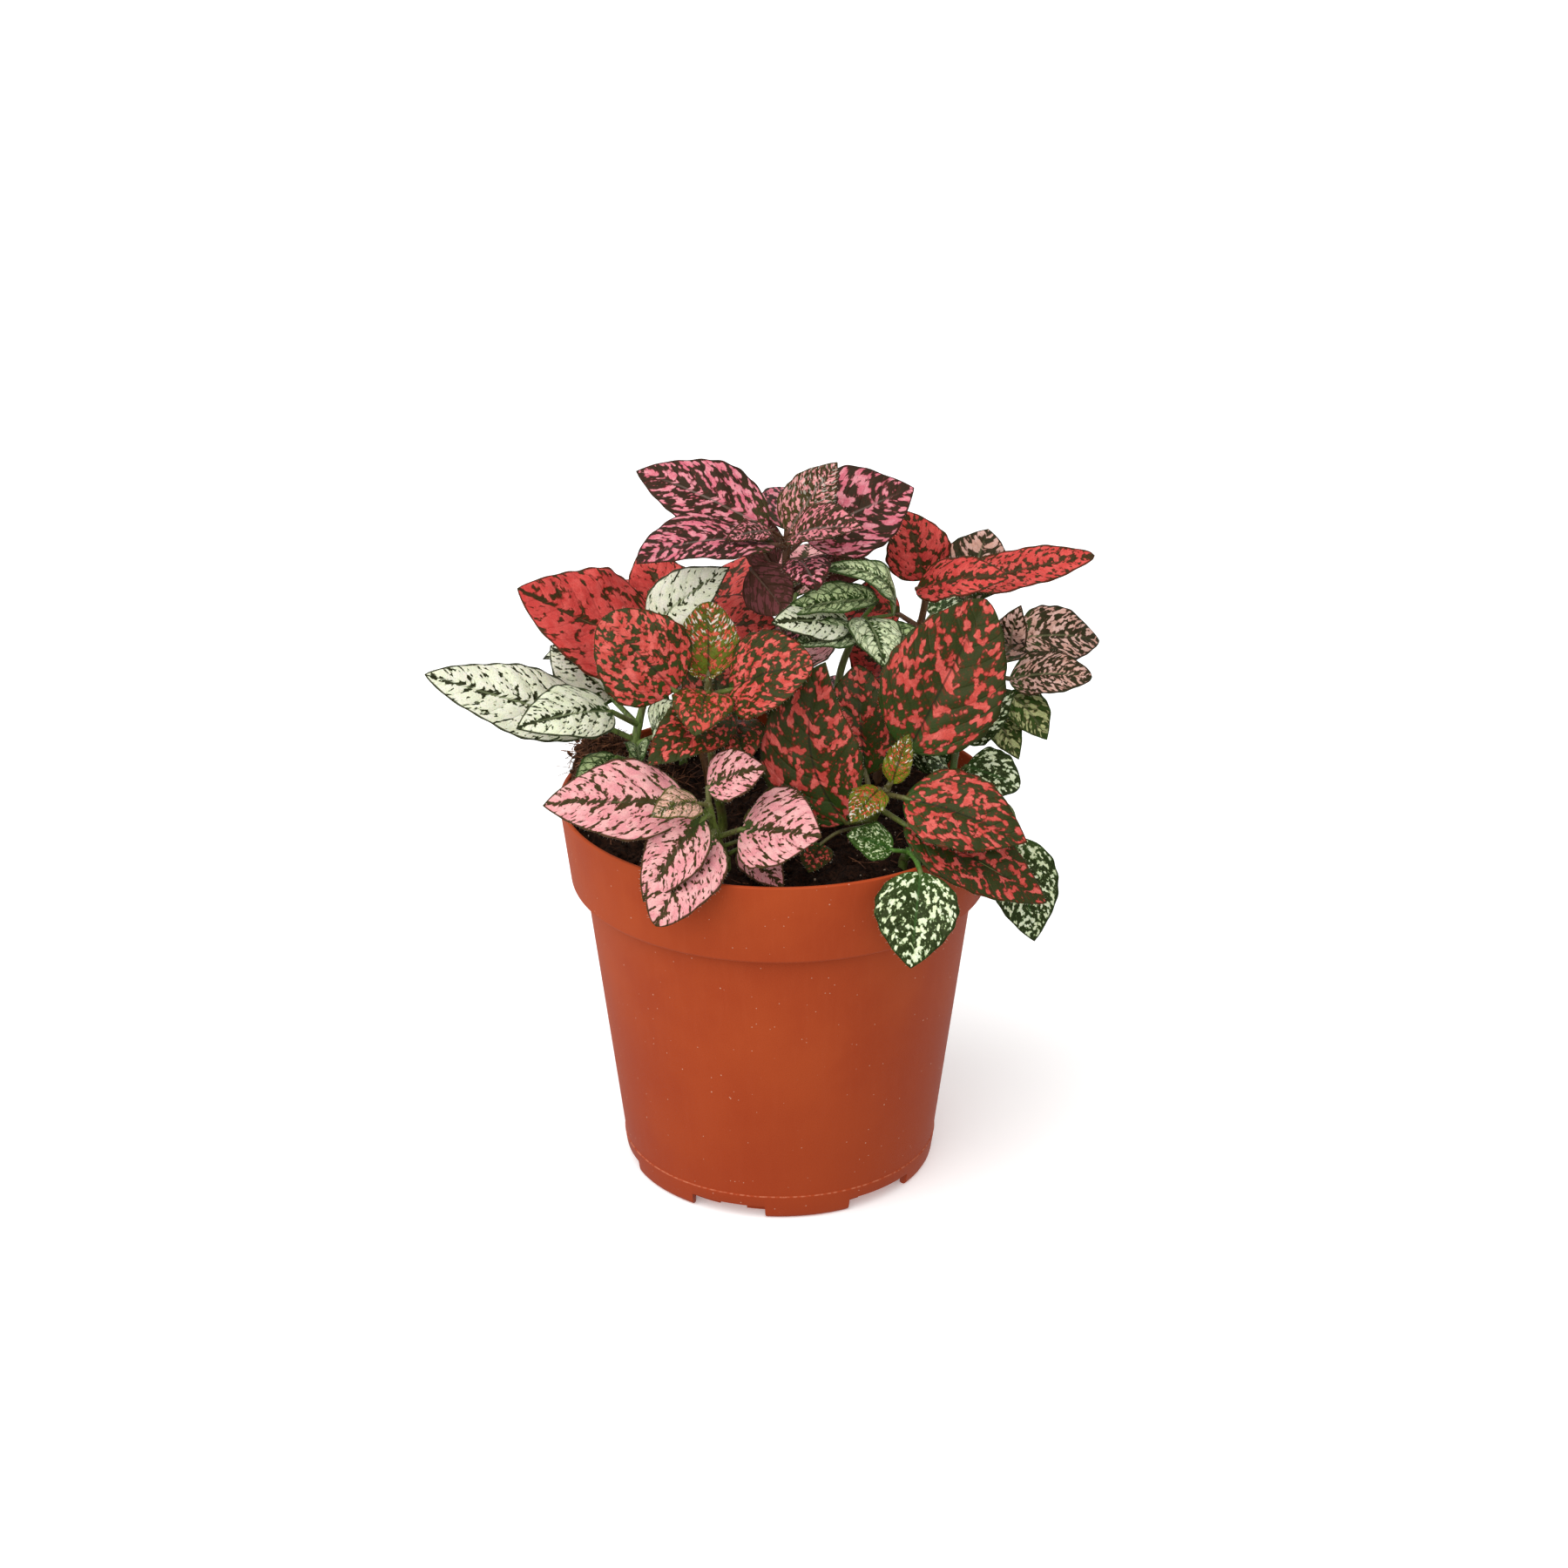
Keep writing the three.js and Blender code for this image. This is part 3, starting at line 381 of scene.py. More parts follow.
class Finish:
    """A node material while it is wired. A value may be a number, a colour or a socket."""

    def __init__(self, name):
        self.material = bpy.data.materials.new(name)
        self.material.use_nodes = True
        self.tree = self.material.node_tree
        self.shader = self.tree.nodes["Principled BSDF"]

    def give(self, socket, value):
        if isinstance(value, bpy.types.NodeSocket):
            self.tree.links.new(value, socket)
        else:
            socket.default_value = value

    def node(self, kind, inputs, **settings):
        node = self.tree.nodes.new(kind)
        for key, value in settings.items():
            setattr(node, key, value)
        for key, value in inputs.items():
            self.give(node.inputs[key], value)
        return node

    def attribute(self, name, output="Vector"):
        return self.node("ShaderNodeAttribute", {}, attribute_name=name).outputs[output]

    def number(self, name):
        return self.attribute(name, "Fac")

    def place(self):
        """Object coordinates in millimetres."""
        here = self.node("ShaderNodeTexCoord", {}).outputs["Object"]
        return self.scaled(here, (1 / MM,) * 3)

    def scaled(self, vector, shares):
        inputs = {0: vector, 1: shares}
        return self.node("ShaderNodeVectorMath", inputs, operation="MULTIPLY").outputs[0]

    def parts(self, vector):
        return self.node("ShaderNodeSeparateXYZ", {0: vector}).outputs[:3]

    def calc(self, operation, *values):
        inputs = dict(enumerate(values))
        return self.node("ShaderNodeMath", inputs, operation=operation).outputs[0]

    def times(self, value, factor):
        return self.calc("MULTIPLY", value, factor)

    def line(self, value, slope, start):
        """start, and slope more for each 1 of the value."""
        return self.calc("MULTIPLY_ADD", value, slope, start)

    def fade(self, value, nothing, full):
        """0 where the value is nothing, 1 where it is full, and smooth between."""
        inputs = {"Value": value, "From Min": nothing, "From Max": full}
        return self.node("ShaderNodeMapRange", inputs, interpolation_type="SMOOTHSTEP").outputs[0]

    def cloud(self, vector, scale, detail=2.0, rough=0.5):
        inputs = {"Vector": vector, "Scale": scale, "Detail": detail, "Roughness": rough}
        return self.node("ShaderNodeTexNoise", inputs).outputs["Fac"]

    def wander(self, vector, scale, far):
        """The vector, led astray by up to about half of far."""
        inputs = {"Vector": vector, "Scale": scale, "Detail": 1.0}
        astray = self.node("ShaderNodeTexNoise", inputs).outputs["Color"]
        inputs = {0: astray, 1: (far,) * 3, 2: vector}
        return self.node("ShaderNodeVectorMath", inputs, operation="MULTIPLY_ADD").outputs[0]

    def cells(self, vector, scale, feature="F1"):
        inputs = {"Vector": vector, "Scale": scale}
        return self.node("ShaderNodeTexVoronoi", inputs, feature=feature)

    def mix(self, share, low, high, blend="MIX"):
        inputs = {"Factor": share, 6: low, 7: high}
        return self.node("ShaderNodeMix", inputs, data_type="RGBA", blend_type=blend).outputs[2]

    def toned(self, value, nothing, full, low, high):
        """A colour that turns from low to high where the value goes from nothing to full."""
        return self.mix(self.fade(value, nothing, full), colour(low), colour(high))

    def painted(self, skin, code, share, strength):
        """The skin with a colour over it, as strong as share times strength."""
        return self.mix(self.times(share, strength), skin, colour(code))

    def relief(self, height, distance):
        inputs = {"Height": height, "Distance": distance * MM, "Strength": 1}
        self.give(self.shader.inputs["Normal"], self.node("ShaderNodeBump", inputs).outputs[0])

    def set(self, **values):
        for key, value in values.items():
            self.give(self.shader.inputs[key.replace("_", " ")], value)
        return self.material


def vein_nearness(finish, phase):
    """1 on a side vein and 0 halfway to the next."""
    return finish.calc("ABSOLUTE", finish.line(finish.calc("FRACT", phase), 2, -1))


# Large and small dots: how fine they are, the colour channel that gives each dot its chance, how
# much plentiful pigment widens them, how much chance does, and the size that they start from.
DOTS = ((1, 0, 5.5, 0.7, -0.15), (1.9, 1, 1.5, 1.6, -1.13))


def blotches(finish, look):
    """Where the pigment lies on a leaf, from 0 to 1, and how far inside a blotch a point is.

    It stands in round dots that run together where pigment is plentiful, with small ones between.
    """
    on_veins = finish.attribute("vein_place")
    across = finish.calc("ABSOLUTE", finish.number("from_rib"))
    along, edge, phase = finish.parts(finish.attribute("leaf_field"))
    drawn = finish.scaled(on_veins, (1 / look["stretch"], 1, 1))
    inputs = {0: drawn, "Scale": finish.number("fineness")}
    drawn = finish.node("ShaderNodeVectorMath", inputs, operation="SCALE").outputs[0]
    torn = finish.wander(drawn, 1.3 / look["dot"], look["ragged"] * look["dot"])
    plenty = finish.cloud(torn, 1 / look["blotch"], 1, 0.4)
    patchy = finish.fade(finish.cloud(on_veins, 0.16, 1), 0.38, 0.62)
    rib_width = finish.line(along, -1.8, 2.6)
    near_rib = finish.calc("SUBTRACT", 1, finish.calc("DIVIDE", across, rib_width))
    near_rib = finish.calc("MAXIMUM", near_rib, 0)
    rib = finish.times(near_rib, finish.line(patchy, 0.55, 0.45))
    near_vein = finish.fade(vein_nearness(finish, phase), 0.6, 0.95)
    vein = finish.times(near_vein, finish.line(patchy, -0.7, 1))
    rim = finish.fade(edge, look["rim_width"], 0)
    for kept_green, key in ((rib, "rib"), (vein, "vein"), (rim, "rim")):
        plenty = finish.line(kept_green, -look[key], plenty)
    plenty = finish.line(finish.number("rich"), 0.05, plenty)
    over = finish.calc("SUBTRACT", plenty, look["level"])
    depths = []
    for fineness, channel, widening, chance_share, least in DOTS:
        dots = finish.cells(torn, fineness / look["dot"])
        chance = finish.parts(dots.outputs["Color"])[channel]
        size = finish.line(over, widening, finish.line(chance, chance_share, least))
        depths.append(finish.calc("SUBTRACT", size, dots.outputs["Distance"]))
    inside = finish.calc("MAXIMUM", depths[0], finish.times(depths[1], 0.5))
    pigment = finish.times(finish.fade(inside, -0.02, 0.04), finish.fade(edge, 0.35, 0.6))
    return pigment, inside


def blade_finish(name, look):
    """The upper side of a leaf."""
    finish = Finish(name)
    pigment, inside = blotches(finish, look)
    on_veins = finish.attribute("vein_place")
    along, edge, phase = finish.parts(finish.attribute("leaf_field"))
    young = finish.number("young")
    veins = vein_nearness(finish, phase)
    mottle = finish.cloud(on_veins, 0.35, 3, 0.6)
    fine = finish.cloud(on_veins, 3.2, 2, 0.6)

    fill = finish.toned(mottle, 0.38, 0.64, look["pigment"], look["pale"])
    fill = finish.painted(fill, look["young_pigment"], young, 0.85)
    fringed = finish.mix(finish.fade(inside, 0, 0.34), colour(look["fringe"]), fill)
    fill = finish.mix(0.8, fill, fringed)

    to_foot = finish.fade(along, 0.34, 0.02)
    green = finish.painted(colour(look["green"]), look["bright_green"], to_foot, 0.75)
    fresh = finish.line(finish.fade(along, 0.8, 0.2), 0.5, 0.4)
    green = finish.painted(green, look["young_green"], young, fresh)
    green = finish.painted(green, look["fringe"], finish.fade(inside, -0.3, 0), look["glow"])
    skin = finish.mix(pigment, green, fill)

    net = finish.cells(finish.scaled(on_veins, (0.7, 1, 1)), 0.55, "DISTANCE_TO_EDGE")
    lines = finish.fade(net.outputs["Distance"], 0.1, 0.03)
    lines = finish.calc("MAXIMUM", lines, finish.fade(veins, 0.86, 0.95))
    lines = finish.calc("MAXIMUM", lines, finish.times(finish.fade(edge, 2.2, 0.3), 0.6))
    lines = finish.times(lines, finish.fade(young, 0.1, 0.7))
    skin = finish.painted(skin, look["young_green"], lines, look["netted"])

    # Painted highlight: pale cream flecks on a young leaf's crinkles, where a glossy surface would
    # catch the light.
    wrinkles = finish.cloud(finish.scaled(on_veins, (0.8, 1.9, 1)), 0.9, 1)
    glint = finish.times(finish.fade(wrinkles, 0.58, 0.63), finish.fade(along, 0.3, 0.55))
    glint = finish.times(glint, finish.fade(young, 0.3, 0.7))
    skin = finish.painted(skin, "efe4d6", glint, look["glint"])

    beside = finish.calc("ABSOLUTE", finish.number("from_rib"))
    rib_line = finish.times(finish.fade(beside, 0.4, 0.12), finish.fade(along, 0.95, 0.5))
    skin = finish.painted(skin, look["rib_line"], rib_line, 0.65)
    skin = finish.mix(0.55, skin, finish.toned(fine, 0.3, 0.7, "c9c9c9", "ffffff"), "MULTIPLY")

    height = finish.line(finish.fade(veins, 0.8, 1), -0.5, finish.times(fine, 0.5))
    height = finish.line(mottle, 0.8, height)
    finish.relief(finish.times(height, finish.line(young, 1.5, 1)), 0.22)
    rough = finish.line(young, -0.12, finish.line(fine, 0.22, look["rough"] - 0.1))
    return finish.set(
        Base_Color=skin, Roughness=rough, Specular_IOR_Level=0.2,
        Specular_Tint=(1, 0.9, 0.68, 1), Subsurface_Weight=0.1,
        Subsurface_Radius=(1, 0.5, 0.3), Subsurface_Scale=0.4 * MM,
    )


def underside_finish(name, look):
    """The lower side of a leaf: duller, with the blotches showing faintly and the veins raised."""
    finish = Finish(name)
    pigment, _ = blotches(finish, look)
    phase = finish.parts(finish.attribute("leaf_field"))[2]
    fresh = finish.number("young")
    skin = finish.painted(colour(look["under"]), look["young_pigment"], fresh, 0.7)
    skin = finish.painted(skin, look["pigment"], pigment, 0.25)
    skin = finish.mix(0.25, skin, colour(look["green"]))
    vein = finish.fade(vein_nearness(finish, phase), 0.84, 1)
    skin = finish.painted(skin, look["young_green"], vein, 0.5)
    fine = finish.cloud(finish.attribute("vein_place"), 2.6, 3, 0.6)
    finish.relief(finish.line(vein, 0.9, finish.times(fine, 0.5)), 0.25)
    rough = finish.line(fine, 0.2, 0.5)
    return finish.set(Base_Color=skin, Roughness=rough, Specular_IOR_Level=0.2)


def stem_finish(name, look):
    finish = Finish(name)
    here = finish.place()
    streaks = finish.cloud(finish.scaled(here, (1, 1, 0.18)), 1.6, 3, 0.6)
    patch = finish.fade(finish.cloud(here, 0.11, 2), 0.42, 0.62)
    green = finish.toned(streaks, 0.2, 0.55, look["green"], look["stalk"])
    skin = finish.painted(green, "5e4030", patch, 0.5)
    finish.relief(streaks, 0.3)
    return finish.set(Base_Color=skin, Roughness=finish.line(streaks, 0.2, 0.42))


def pot_finish():
    """Matt moulded plastic with a fine grain and dust specks, painted shade that deepens from the
    collar down to the foot, and a painted highlight along the mould line.
    """
    finish = Finish("terracotta plastic")
    here = finish.place()
    height = finish.parts(here)[2]
    cloudy = finish.cloud(here, 0.035, 3, 0.55)
    streaks = finish.cloud(finish.scaled(here, (1, 1, 0.05)), 0.5, 3, 0.6)
    body = finish.toned(cloudy, 0.32, 0.68, "a6411e", "b04a23")
    body = finish.painted(body, "b4502c", finish.fade(streaks, 0.45, 0.7), 0.15)
    # Painted shade: the wall darkens from the collar's foot down to the pot's foot.
    body = finish.painted(body, "8e3217", finish.fade(height, COLLAR_FOOT, 0), 0.55)
    # Painted highlight: a pale, broken line along the mould line's step, where the step would catch
    # the light.
    off_line = finish.calc("ABSOLUTE", finish.calc("SUBTRACT", height, MOULD_LINE + 0.1))
    broken = finish.times(finish.fade(finish.cloud(here, 0.9, 2), 0.4, 0.6), 0.3)
    body = finish.painted(body, "dd9a7a", finish.fade(off_line, 0.22, 0.04), broken)
    dust = 0
    for scale, least, size in ((0.42, 0.88, 0.1), (0.9, 0.9, 0.16)):
        speck = finish.cells(here, scale)
        sparse = finish.fade(finish.parts(speck.outputs["Color"])[0], least, least + 0.02)
        spots = finish.fade(speck.outputs["Distance"], size, 0.5 * size)
        dust = finish.line(spots, sparse, dust)
    body = finish.painted(body, "e3b9a0", dust, 0.6)
    grain = finish.cloud(here, 4.5, 3, 0.6)
    finish.relief(finish.line(dust, 0.6, grain), 0.05)
    rough = finish.line(grain, 0.12, finish.line(cloudy, 0.12, 0.42))
    return finish.set(
        Base_Color=body, Roughness=rough, Specular_IOR_Level=0.16,
        Specular_Tint=(1, 0.72, 0.55, 1),
    )


def soil_finish():
    """Peat that is dark low in the pot and lighter brown higher up, on the heap."""
    finish = Finish("peat")
    here = finish.place()
    grain = finish.cloud(here, 0.9, 5, 0.7)
    fine = finish.cloud(here, 3.5, 4, 0.7)
    # The peat turns lighter brown from a little above the soil's front height upwards, over the
    # heap.
    lower_peat = finish.toned(grain, 0.36, 0.66, "180e08", "40271a")
    upper_peat = finish.toned(grain, 0.36, 0.66, "2e1a0f", "6b4630")
    upper_share = finish.fade(finish.parts(here)[2], SOIL_FRONT + 3, SOIL_FRONT + 10)
    body = finish.mix(upper_share, lower_peat, upper_peat)
    body = finish.painted(body, "6a452e", finish.fade(fine, 0.58, 0.72), 0.5)
    finish.relief(finish.line(fine, 0.6, grain), 0.8)
    return finish.set(Base_Color=body, Roughness=0.95, Specular_IOR_Level=0.15)


def two_tone_finish(name, scale, detail, low, high, rough, relief):
    finish = Finish(name)
    tint = finish.cloud(finish.place(), scale, detail)
    if relief:
        finish.relief(tint, relief)
    return finish.set(Base_Color=finish.toned(tint, 0.35, 0.65, low, high), Roughness=rough)


def floor_finish():
    finish = Finish("pale floor")
    tint = finish.cloud(finish.place(), 0.004)
    body = finish.mix(tint, colour("f9f9f8"), colour("fbfbfb"))
    return finish.set(
        Base_Color=body, Roughness=0.9, Specular_IOR_Level=0.1,
        Emission_Color=(1, 1, 1, 1), Emission_Strength=0.22,
    )


# ---- making and handling pieces ----


def select_only(*objects):
    for shown in bpy.context.view_layer.objects:
        shown.select_set(shown in objects)
    bpy.context.view_layer.objects.active = objects[0] if objects else None


def edit(chosen="SELECT"):
    """Goes into edit mode with all of the active piece selected, or none of it."""
    bpy.ops.object.mode_set(mode="EDIT")
    bpy.ops.mesh.select_all(action=chosen)


def close_edit():
    bpy.ops.object.mode_set(mode="OBJECT")


def weld(threshold):
    """Joins the doubled corners of the active piece and turns its faces outwards."""
    edit()
    bpy.ops.mesh.remove_doubles(threshold=threshold)
    bpy.ops.mesh.normals_make_consistent(inside=False)
    close_edit()


def piece_of(name, mesh):
    """A new piece in the scene, the only one selected."""
    piece = bpy.data.objects.new(name, mesh)
    bpy.context.collection.objects.link(piece)
    select_only(piece)
    return piece


def apply_modifiers(piece):
    select_only(piece)
    for modifier in list(piece.modifiers):
        bpy.ops.object.modifier_apply(modifier=modifier.name)


def join_pieces(pieces, name):
    select_only(*pieces)
    bpy.ops.object.join()
    whole = bpy.context.view_layer.objects.active
    whole.name = whole.data.name = name
    return whole


def stand_for(piece, node):
    """Makes a finished piece take the place of a CAD node."""
    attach(piece, "root")
    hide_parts(node)


def scattered(name, blanks, places, material):
    """One mesh of many copies: each place is a number of a blank and a matrix."""
    corners, faces, start = [], [], 0
    for which, matrix in places:
        shape = blanks[which].data
        flat = numpy.empty(len(shape.vertices) * 3)
        shape.vertices.foreach_get("co", flat)
        turned_flat = numpy.array(matrix.to_3x3()) @ flat.reshape(-1, 3).T
        corners.append(turned_flat.T + numpy.array(matrix.translation))
        faces += [[start + corner for corner in face.vertices] for face in shape.polygons]
        start += len(shape.vertices)
    mesh = bpy.data.meshes.new(name)
    mesh.from_pydata(numpy.concatenate(corners).tolist(), [], faces)
    mesh.materials.append(material)
    piece = piece_of(name, mesh)
    bpy.ops.object.shade_smooth()
    return piece


def remove_pieces(pieces):
    for piece in pieces:
        bpy.data.objects.remove(piece)


def aimed(place, direction, length, width, spin=0.0):
    """A matrix that lays a blank's z axis along a direction, in metres."""
    turn = direction.to_track_quat("Z", "Y").to_matrix().to_4x4()
    size = Matrix.Diagonal((width, width, length, 1))
    return Matrix.Translation(place) @ turn @ Matrix.Rotation(spin, 4, "Z") @ size


# ---- pot ----


def wall_radius(z):
    return FOOT_RADIUS + (WALL_TOP_RADIUS - FOOT_RADIUS) * z / COLLAR_FOOT


def inner_radius(z):
    if z < COLLAR_FOOT:
        return wall_radius(z) - WALL
    low, high = COLLAR_FOOT_RADIUS - WALL, RIM_RADIUS - RIM_LIP
    return low + (high - low) * (z - COLLAR_FOOT) / (POT_HEIGHT - COLLAR_FOOT)


def rounded_outline(corners, steps=5):
    """Points of an outline whose corners, given as radius, height and rounding, are curves."""
    outline = []
    for number, (x, z, rounding) in enumerate(corners):
        here = Vector((x, z))
        if not rounding:
            outline.append(here)
            continue
        before = Vector(corners[number - 1][:2])
        after = Vector(corners[(number + 1) % len(corners)][:2])
        start = here + (before - here).normalized() * rounding
        end = here + (after - here).normalized() * rounding
        for step in range(steps + 1):
            share = step / steps
            outline.append(start.lerp(here, share).lerp(here.lerp(end, share), share))
    return outline


def pot_outline():
    """From the middle of the underside round the feet, the wall and the rim to the floor's top."""
    under, top = FLOOR_UNDER, FLOOR_TOP
    ring_inner = FOOT_RADIUS - RING_WALL
    inner_low, inner_high = INNER_RING
    step_top = MOULD_LINE + MOULD_STEP
    return rounded_outline([
        (0, 0, 0), (CENTRE_FOOT, 0, 0.4), (CENTRE_FOOT + 1, under, 0.5),
        (inner_low, under, 0.4), (inner_low, 0, 0.3), (inner_high, 0, 0.3),
        (inner_high, under, 0.3), (ring_inner, under, 0.3), (ring_inner, 0, 0.4),
        (FOOT_RADIUS + 0.1, 0, FOOT_ROUND), (wall_radius(MOULD_LINE) + MOULD_STEP, MOULD_LINE, 0.1),
        (wall_radius(step_top), step_top, 0.1), (WALL_TOP_RADIUS, COLLAR_FOOT - 1.1, 0.7),
        (COLLAR_FOOT_RADIUS - 0.1, COLLAR_FOOT - 0.2, 0.8), (RIM_RADIUS, POT_HEIGHT, 0.5),
        (RIM_RADIUS - RIM_LIP, POT_HEIGHT, 0.5), (inner_radius(COLLAR_FOOT), COLLAR_FOOT, 1.2),
        (wall_radius(COLLAR_FOOT) - WALL, COLLAR_FOOT - 2, 1.0),
        (inner_radius(top) - 0.1, top, 1.5), (0, top, 0),
    ])


def turned(name, outline, sides):
    """An outline of radius and height, in millimetres, spun round the upright axis."""
    mesh = bpy.data.meshes.new(name)
    chain = [(point.x * MM, 0, point.y * MM) for point in outline]
    mesh.from_pydata(chain, [(at, at + 1) for at in range(len(chain) - 1)], [])
    piece = piece_of(name, mesh)
    edit()
    bpy.ops.mesh.spin(steps=sides, angle=math.tau, center=(0, 0, 0), axis=(0, 0, 1))
    weld(0.01 * MM)
    return piece


def foot_cutters():
    """What is cut from the underside: the notches between the feet, the gaps in the inner ring and
    the drain holes."""
    cutters = []
    for number in range(NOTCHES):
        turn = math.radians(FIRST_NOTCH + 360 / NOTCHES * number)
        out = Vector((math.cos(turn), math.sin(turn), 0))
        for radius, depth, width, height in RING_CUTS:
            place = (out * radius + Vector((0, 0, (height - CUT_BELOW) / 2))) * MM
            bpy.ops.mesh.primitive_cube_add(size=1, location=place, rotation=(0, 0, turn))
            cutters.append(bpy.context.object)
            cutters[-1].scale = (depth * MM, width * MM, (height + CUT_BELOW) * MM)
        bpy.ops.mesh.primitive_cylinder_add(
            vertices=DRAIN_SIDES, radius=DRAIN_RADIUS * MM, depth=DRAIN_CUT * MM,
            location=(out * DRAIN_RING + Vector((0, 0, FLOOR_TOP))) * MM,
        )
        cutters.append(bpy.context.object)
    return join_pieces(cutters, "foot_cutters")


def make_pot():
    pot = turned("flower_pot", pot_outline(), POT_SIDES)
    cutters = foot_cutters()
    cut = pot.modifiers.new("notches", "BOOLEAN")
    cut.object, cut.operation, cut.solver = cutters, "DIFFERENCE", "EXACT"
    apply_modifiers(pot)
    remove_pieces([cutters])
    soft = pot.modifiers.new("soft edges", "BEVEL")
    soft.width, soft.segments, soft.limit_method = SOFT_EDGE * MM, 2, "ANGLE"
    soft.angle_limit = math.radians(SOFT_EDGE_ANGLE)
    apply_modifiers(pot)
    bpy.ops.object.shade_smooth_by_angle(angle=math.radians(SMOOTH_ANGLE))
    pot.data.materials.clear()
    pot.data.materials.append(pot_finish())
    stand_for(pot, "pot")


# ---- soil ----


def lump(x, y):
    """The soil's broad lumps, from about -1 to 1, by the CAD's formula."""
    return (
        math.sin(0.55 * x + 1.3) * math.cos(0.47 * y + 0.4) * 0.5
        + math.sin(1.13 * x - 0.6 * y) * 0.3
        + math.cos(0.83 * y + 0.35 * x + 2) * 0.2
    )


def mound(x, y):
    """1 on top of the heap of fibrous peat at the back left, falling to 0 round it."""
    away = math.hypot(x - MOUND_CENTRE[0], y - MOUND_CENTRE[1])
    return math.exp(-((away / MOUND_SIZE) ** 2))


def soil_top(x, y):
    out = math.hypot(x, y) / RIM_RADIUS
    crown = SOIL_CROWN * (1 - out * out)
    return SOIL_FRONT + crown + MOUND_HEIGHT * mound(x, y) + SOIL_LUMPS * lump(x, y)


def crumbly_top(x, y):
    """The soil's surface with its crumbs, which are coarser on the heap."""
    nearest = noise.voronoi(Vector((x * CRUMB_PITCH, y * CRUMB_PITCH, 3)))[0][0]
    small = noise.fractal(Vector((x * GRAIN_PITCH, y * GRAIN_PITCH, 1)), 0.6, 2.1, 4)
    coarse = 1 + COARSE_MOUND * mound(x, y)
    return soil_top(x, y) + coarse * (0.7 - 1.1 * nearest + 0.35 * small)


def make_soil_bed():
    """A disc of crumbly surface whose edge runs down the inside of the pot to a flat base."""
    edge = inner_radius(SOIL_FRONT) - WALL_GAP
    select_only()
    bpy.ops.mesh.primitive_grid_add(x_subdivisions=SOIL_CELLS, y_subdivisions=SOIL_CELLS, size=2)
    bed = bpy.context.object
    for vertex in bed.data.vertices:
        across, along, _ = vertex.co
        x = edge * across * math.sqrt(1 - along * along / 2)
        y = edge * along * math.sqrt(1 - across * across / 2)
        vertex.co = Vector((x, y, crumbly_top(x, y))) * MM
    edit()
    bpy.ops.mesh.region_to_loop()
    base = FLOOR_TOP + SEAT_GAP
    round_top = base + SOIL_BASE_ROUND
    rings = [
        (inner_radius(COLLAR_FOOT) - WALL_GAP, COLLAR_FOOT + 0.2),
        (wall_radius(COLLAR_FOOT) - WALL - WALL_GAP - 0.2, COLLAR_FOOT - 2),
        (inner_radius(round_top) - WALL_GAP, round_top),
        (inner_radius(base) - SOIL_BASE_ROUND - SEAT_GAP, base),
    ]
    for radius, height in rings:
        bpy.ops.mesh.extrude_region_move()
        close_edit()
        for vertex in bed.data.vertices:
            if vertex.select:
                out = Vector((vertex.co.x, vertex.co.y, 0)).normalized() * radius
                vertex.co = Vector((out.x, out.y, height)) * MM
        bpy.ops.object.mode_set(mode="EDIT")
    bpy.ops.mesh.edge_face_add()
    bpy.ops.mesh.select_all(action="SELECT")
    bpy.ops.mesh.normals_make_consistent(inside=False)
    close_edit()
    bpy.ops.object.shade_smooth()
    bed.data.materials.append(soil_finish())
    return bed


def soil_spot(draw, near_mound):
    """A random point of the surface, clear of the pot's wall but over its rim where the heap is."""
    while True:
        if near_mound:
            x, y = (draw.gauss(*spread) for spread in zip(MOUND_LITTER, MOUND_LITTER_SPREAD))
        else:
            x, y = (draw.uniform(-LITTER_FIELD, LITTER_FIELD) for _ in "xy")
        out, height = math.hypot(x, y), crumbly_top(x, y)
        if out < LITTER_EDGE or (out < MOUND_LITTER_EDGE and height > POT_HEIGHT + OVER_RIM):
            return Vector((x, y, height))


def crumb_blanks(draw):
    """Three rough crumbs a millimetre across."""
    blanks = []
    for _ in range(3):
        bpy.ops.mesh.primitive_ico_sphere_add(subdivisions=1, radius=CRUMB_RADIUS * MM)
        crumb = bpy.context.object
        for vertex in crumb.data.vertices:
            vertex.co *= draw.uniform(0.7, 1.25)
        blanks.append(crumb)
    return blanks


def fibre_blanks(draw):
    """Three crooked threads a millimetre long, three-sided, lying along z."""
    blanks = []
    for _ in range(3):
        bpy.ops.mesh.primitive_cylinder_add(vertices=3, radius=FIBRE_RADIUS * MM, depth=MM)
        fibre = bpy.context.object
        edit("DESELECT")
        close_edit()
        for edge in fibre.data.edges:
            low, high = (fibre.data.vertices[corner].co.z for corner in edge.vertices)
            edge.select = abs(low - high) > 0.5 * MM
        bpy.ops.object.mode_set(mode="EDIT")
        bpy.ops.mesh.select_mode(type="EDGE")
        bpy.ops.mesh.subdivide(number_cuts=FIBRE_CUTS)
        close_edit()
        bow, twist, side = draw.uniform(0.1, 0.25), draw.uniform(0.05, 0.1), draw.uniform(0, 6)
        for vertex in fibre.data.vertices:
            along = vertex.co.z / MM
            vertex.co.x += bow * (0.25 - along * along) * MM
            vertex.co.y += twist * math.sin(6 * along + side) * MM
        blanks.append(fibre)
    return blanks


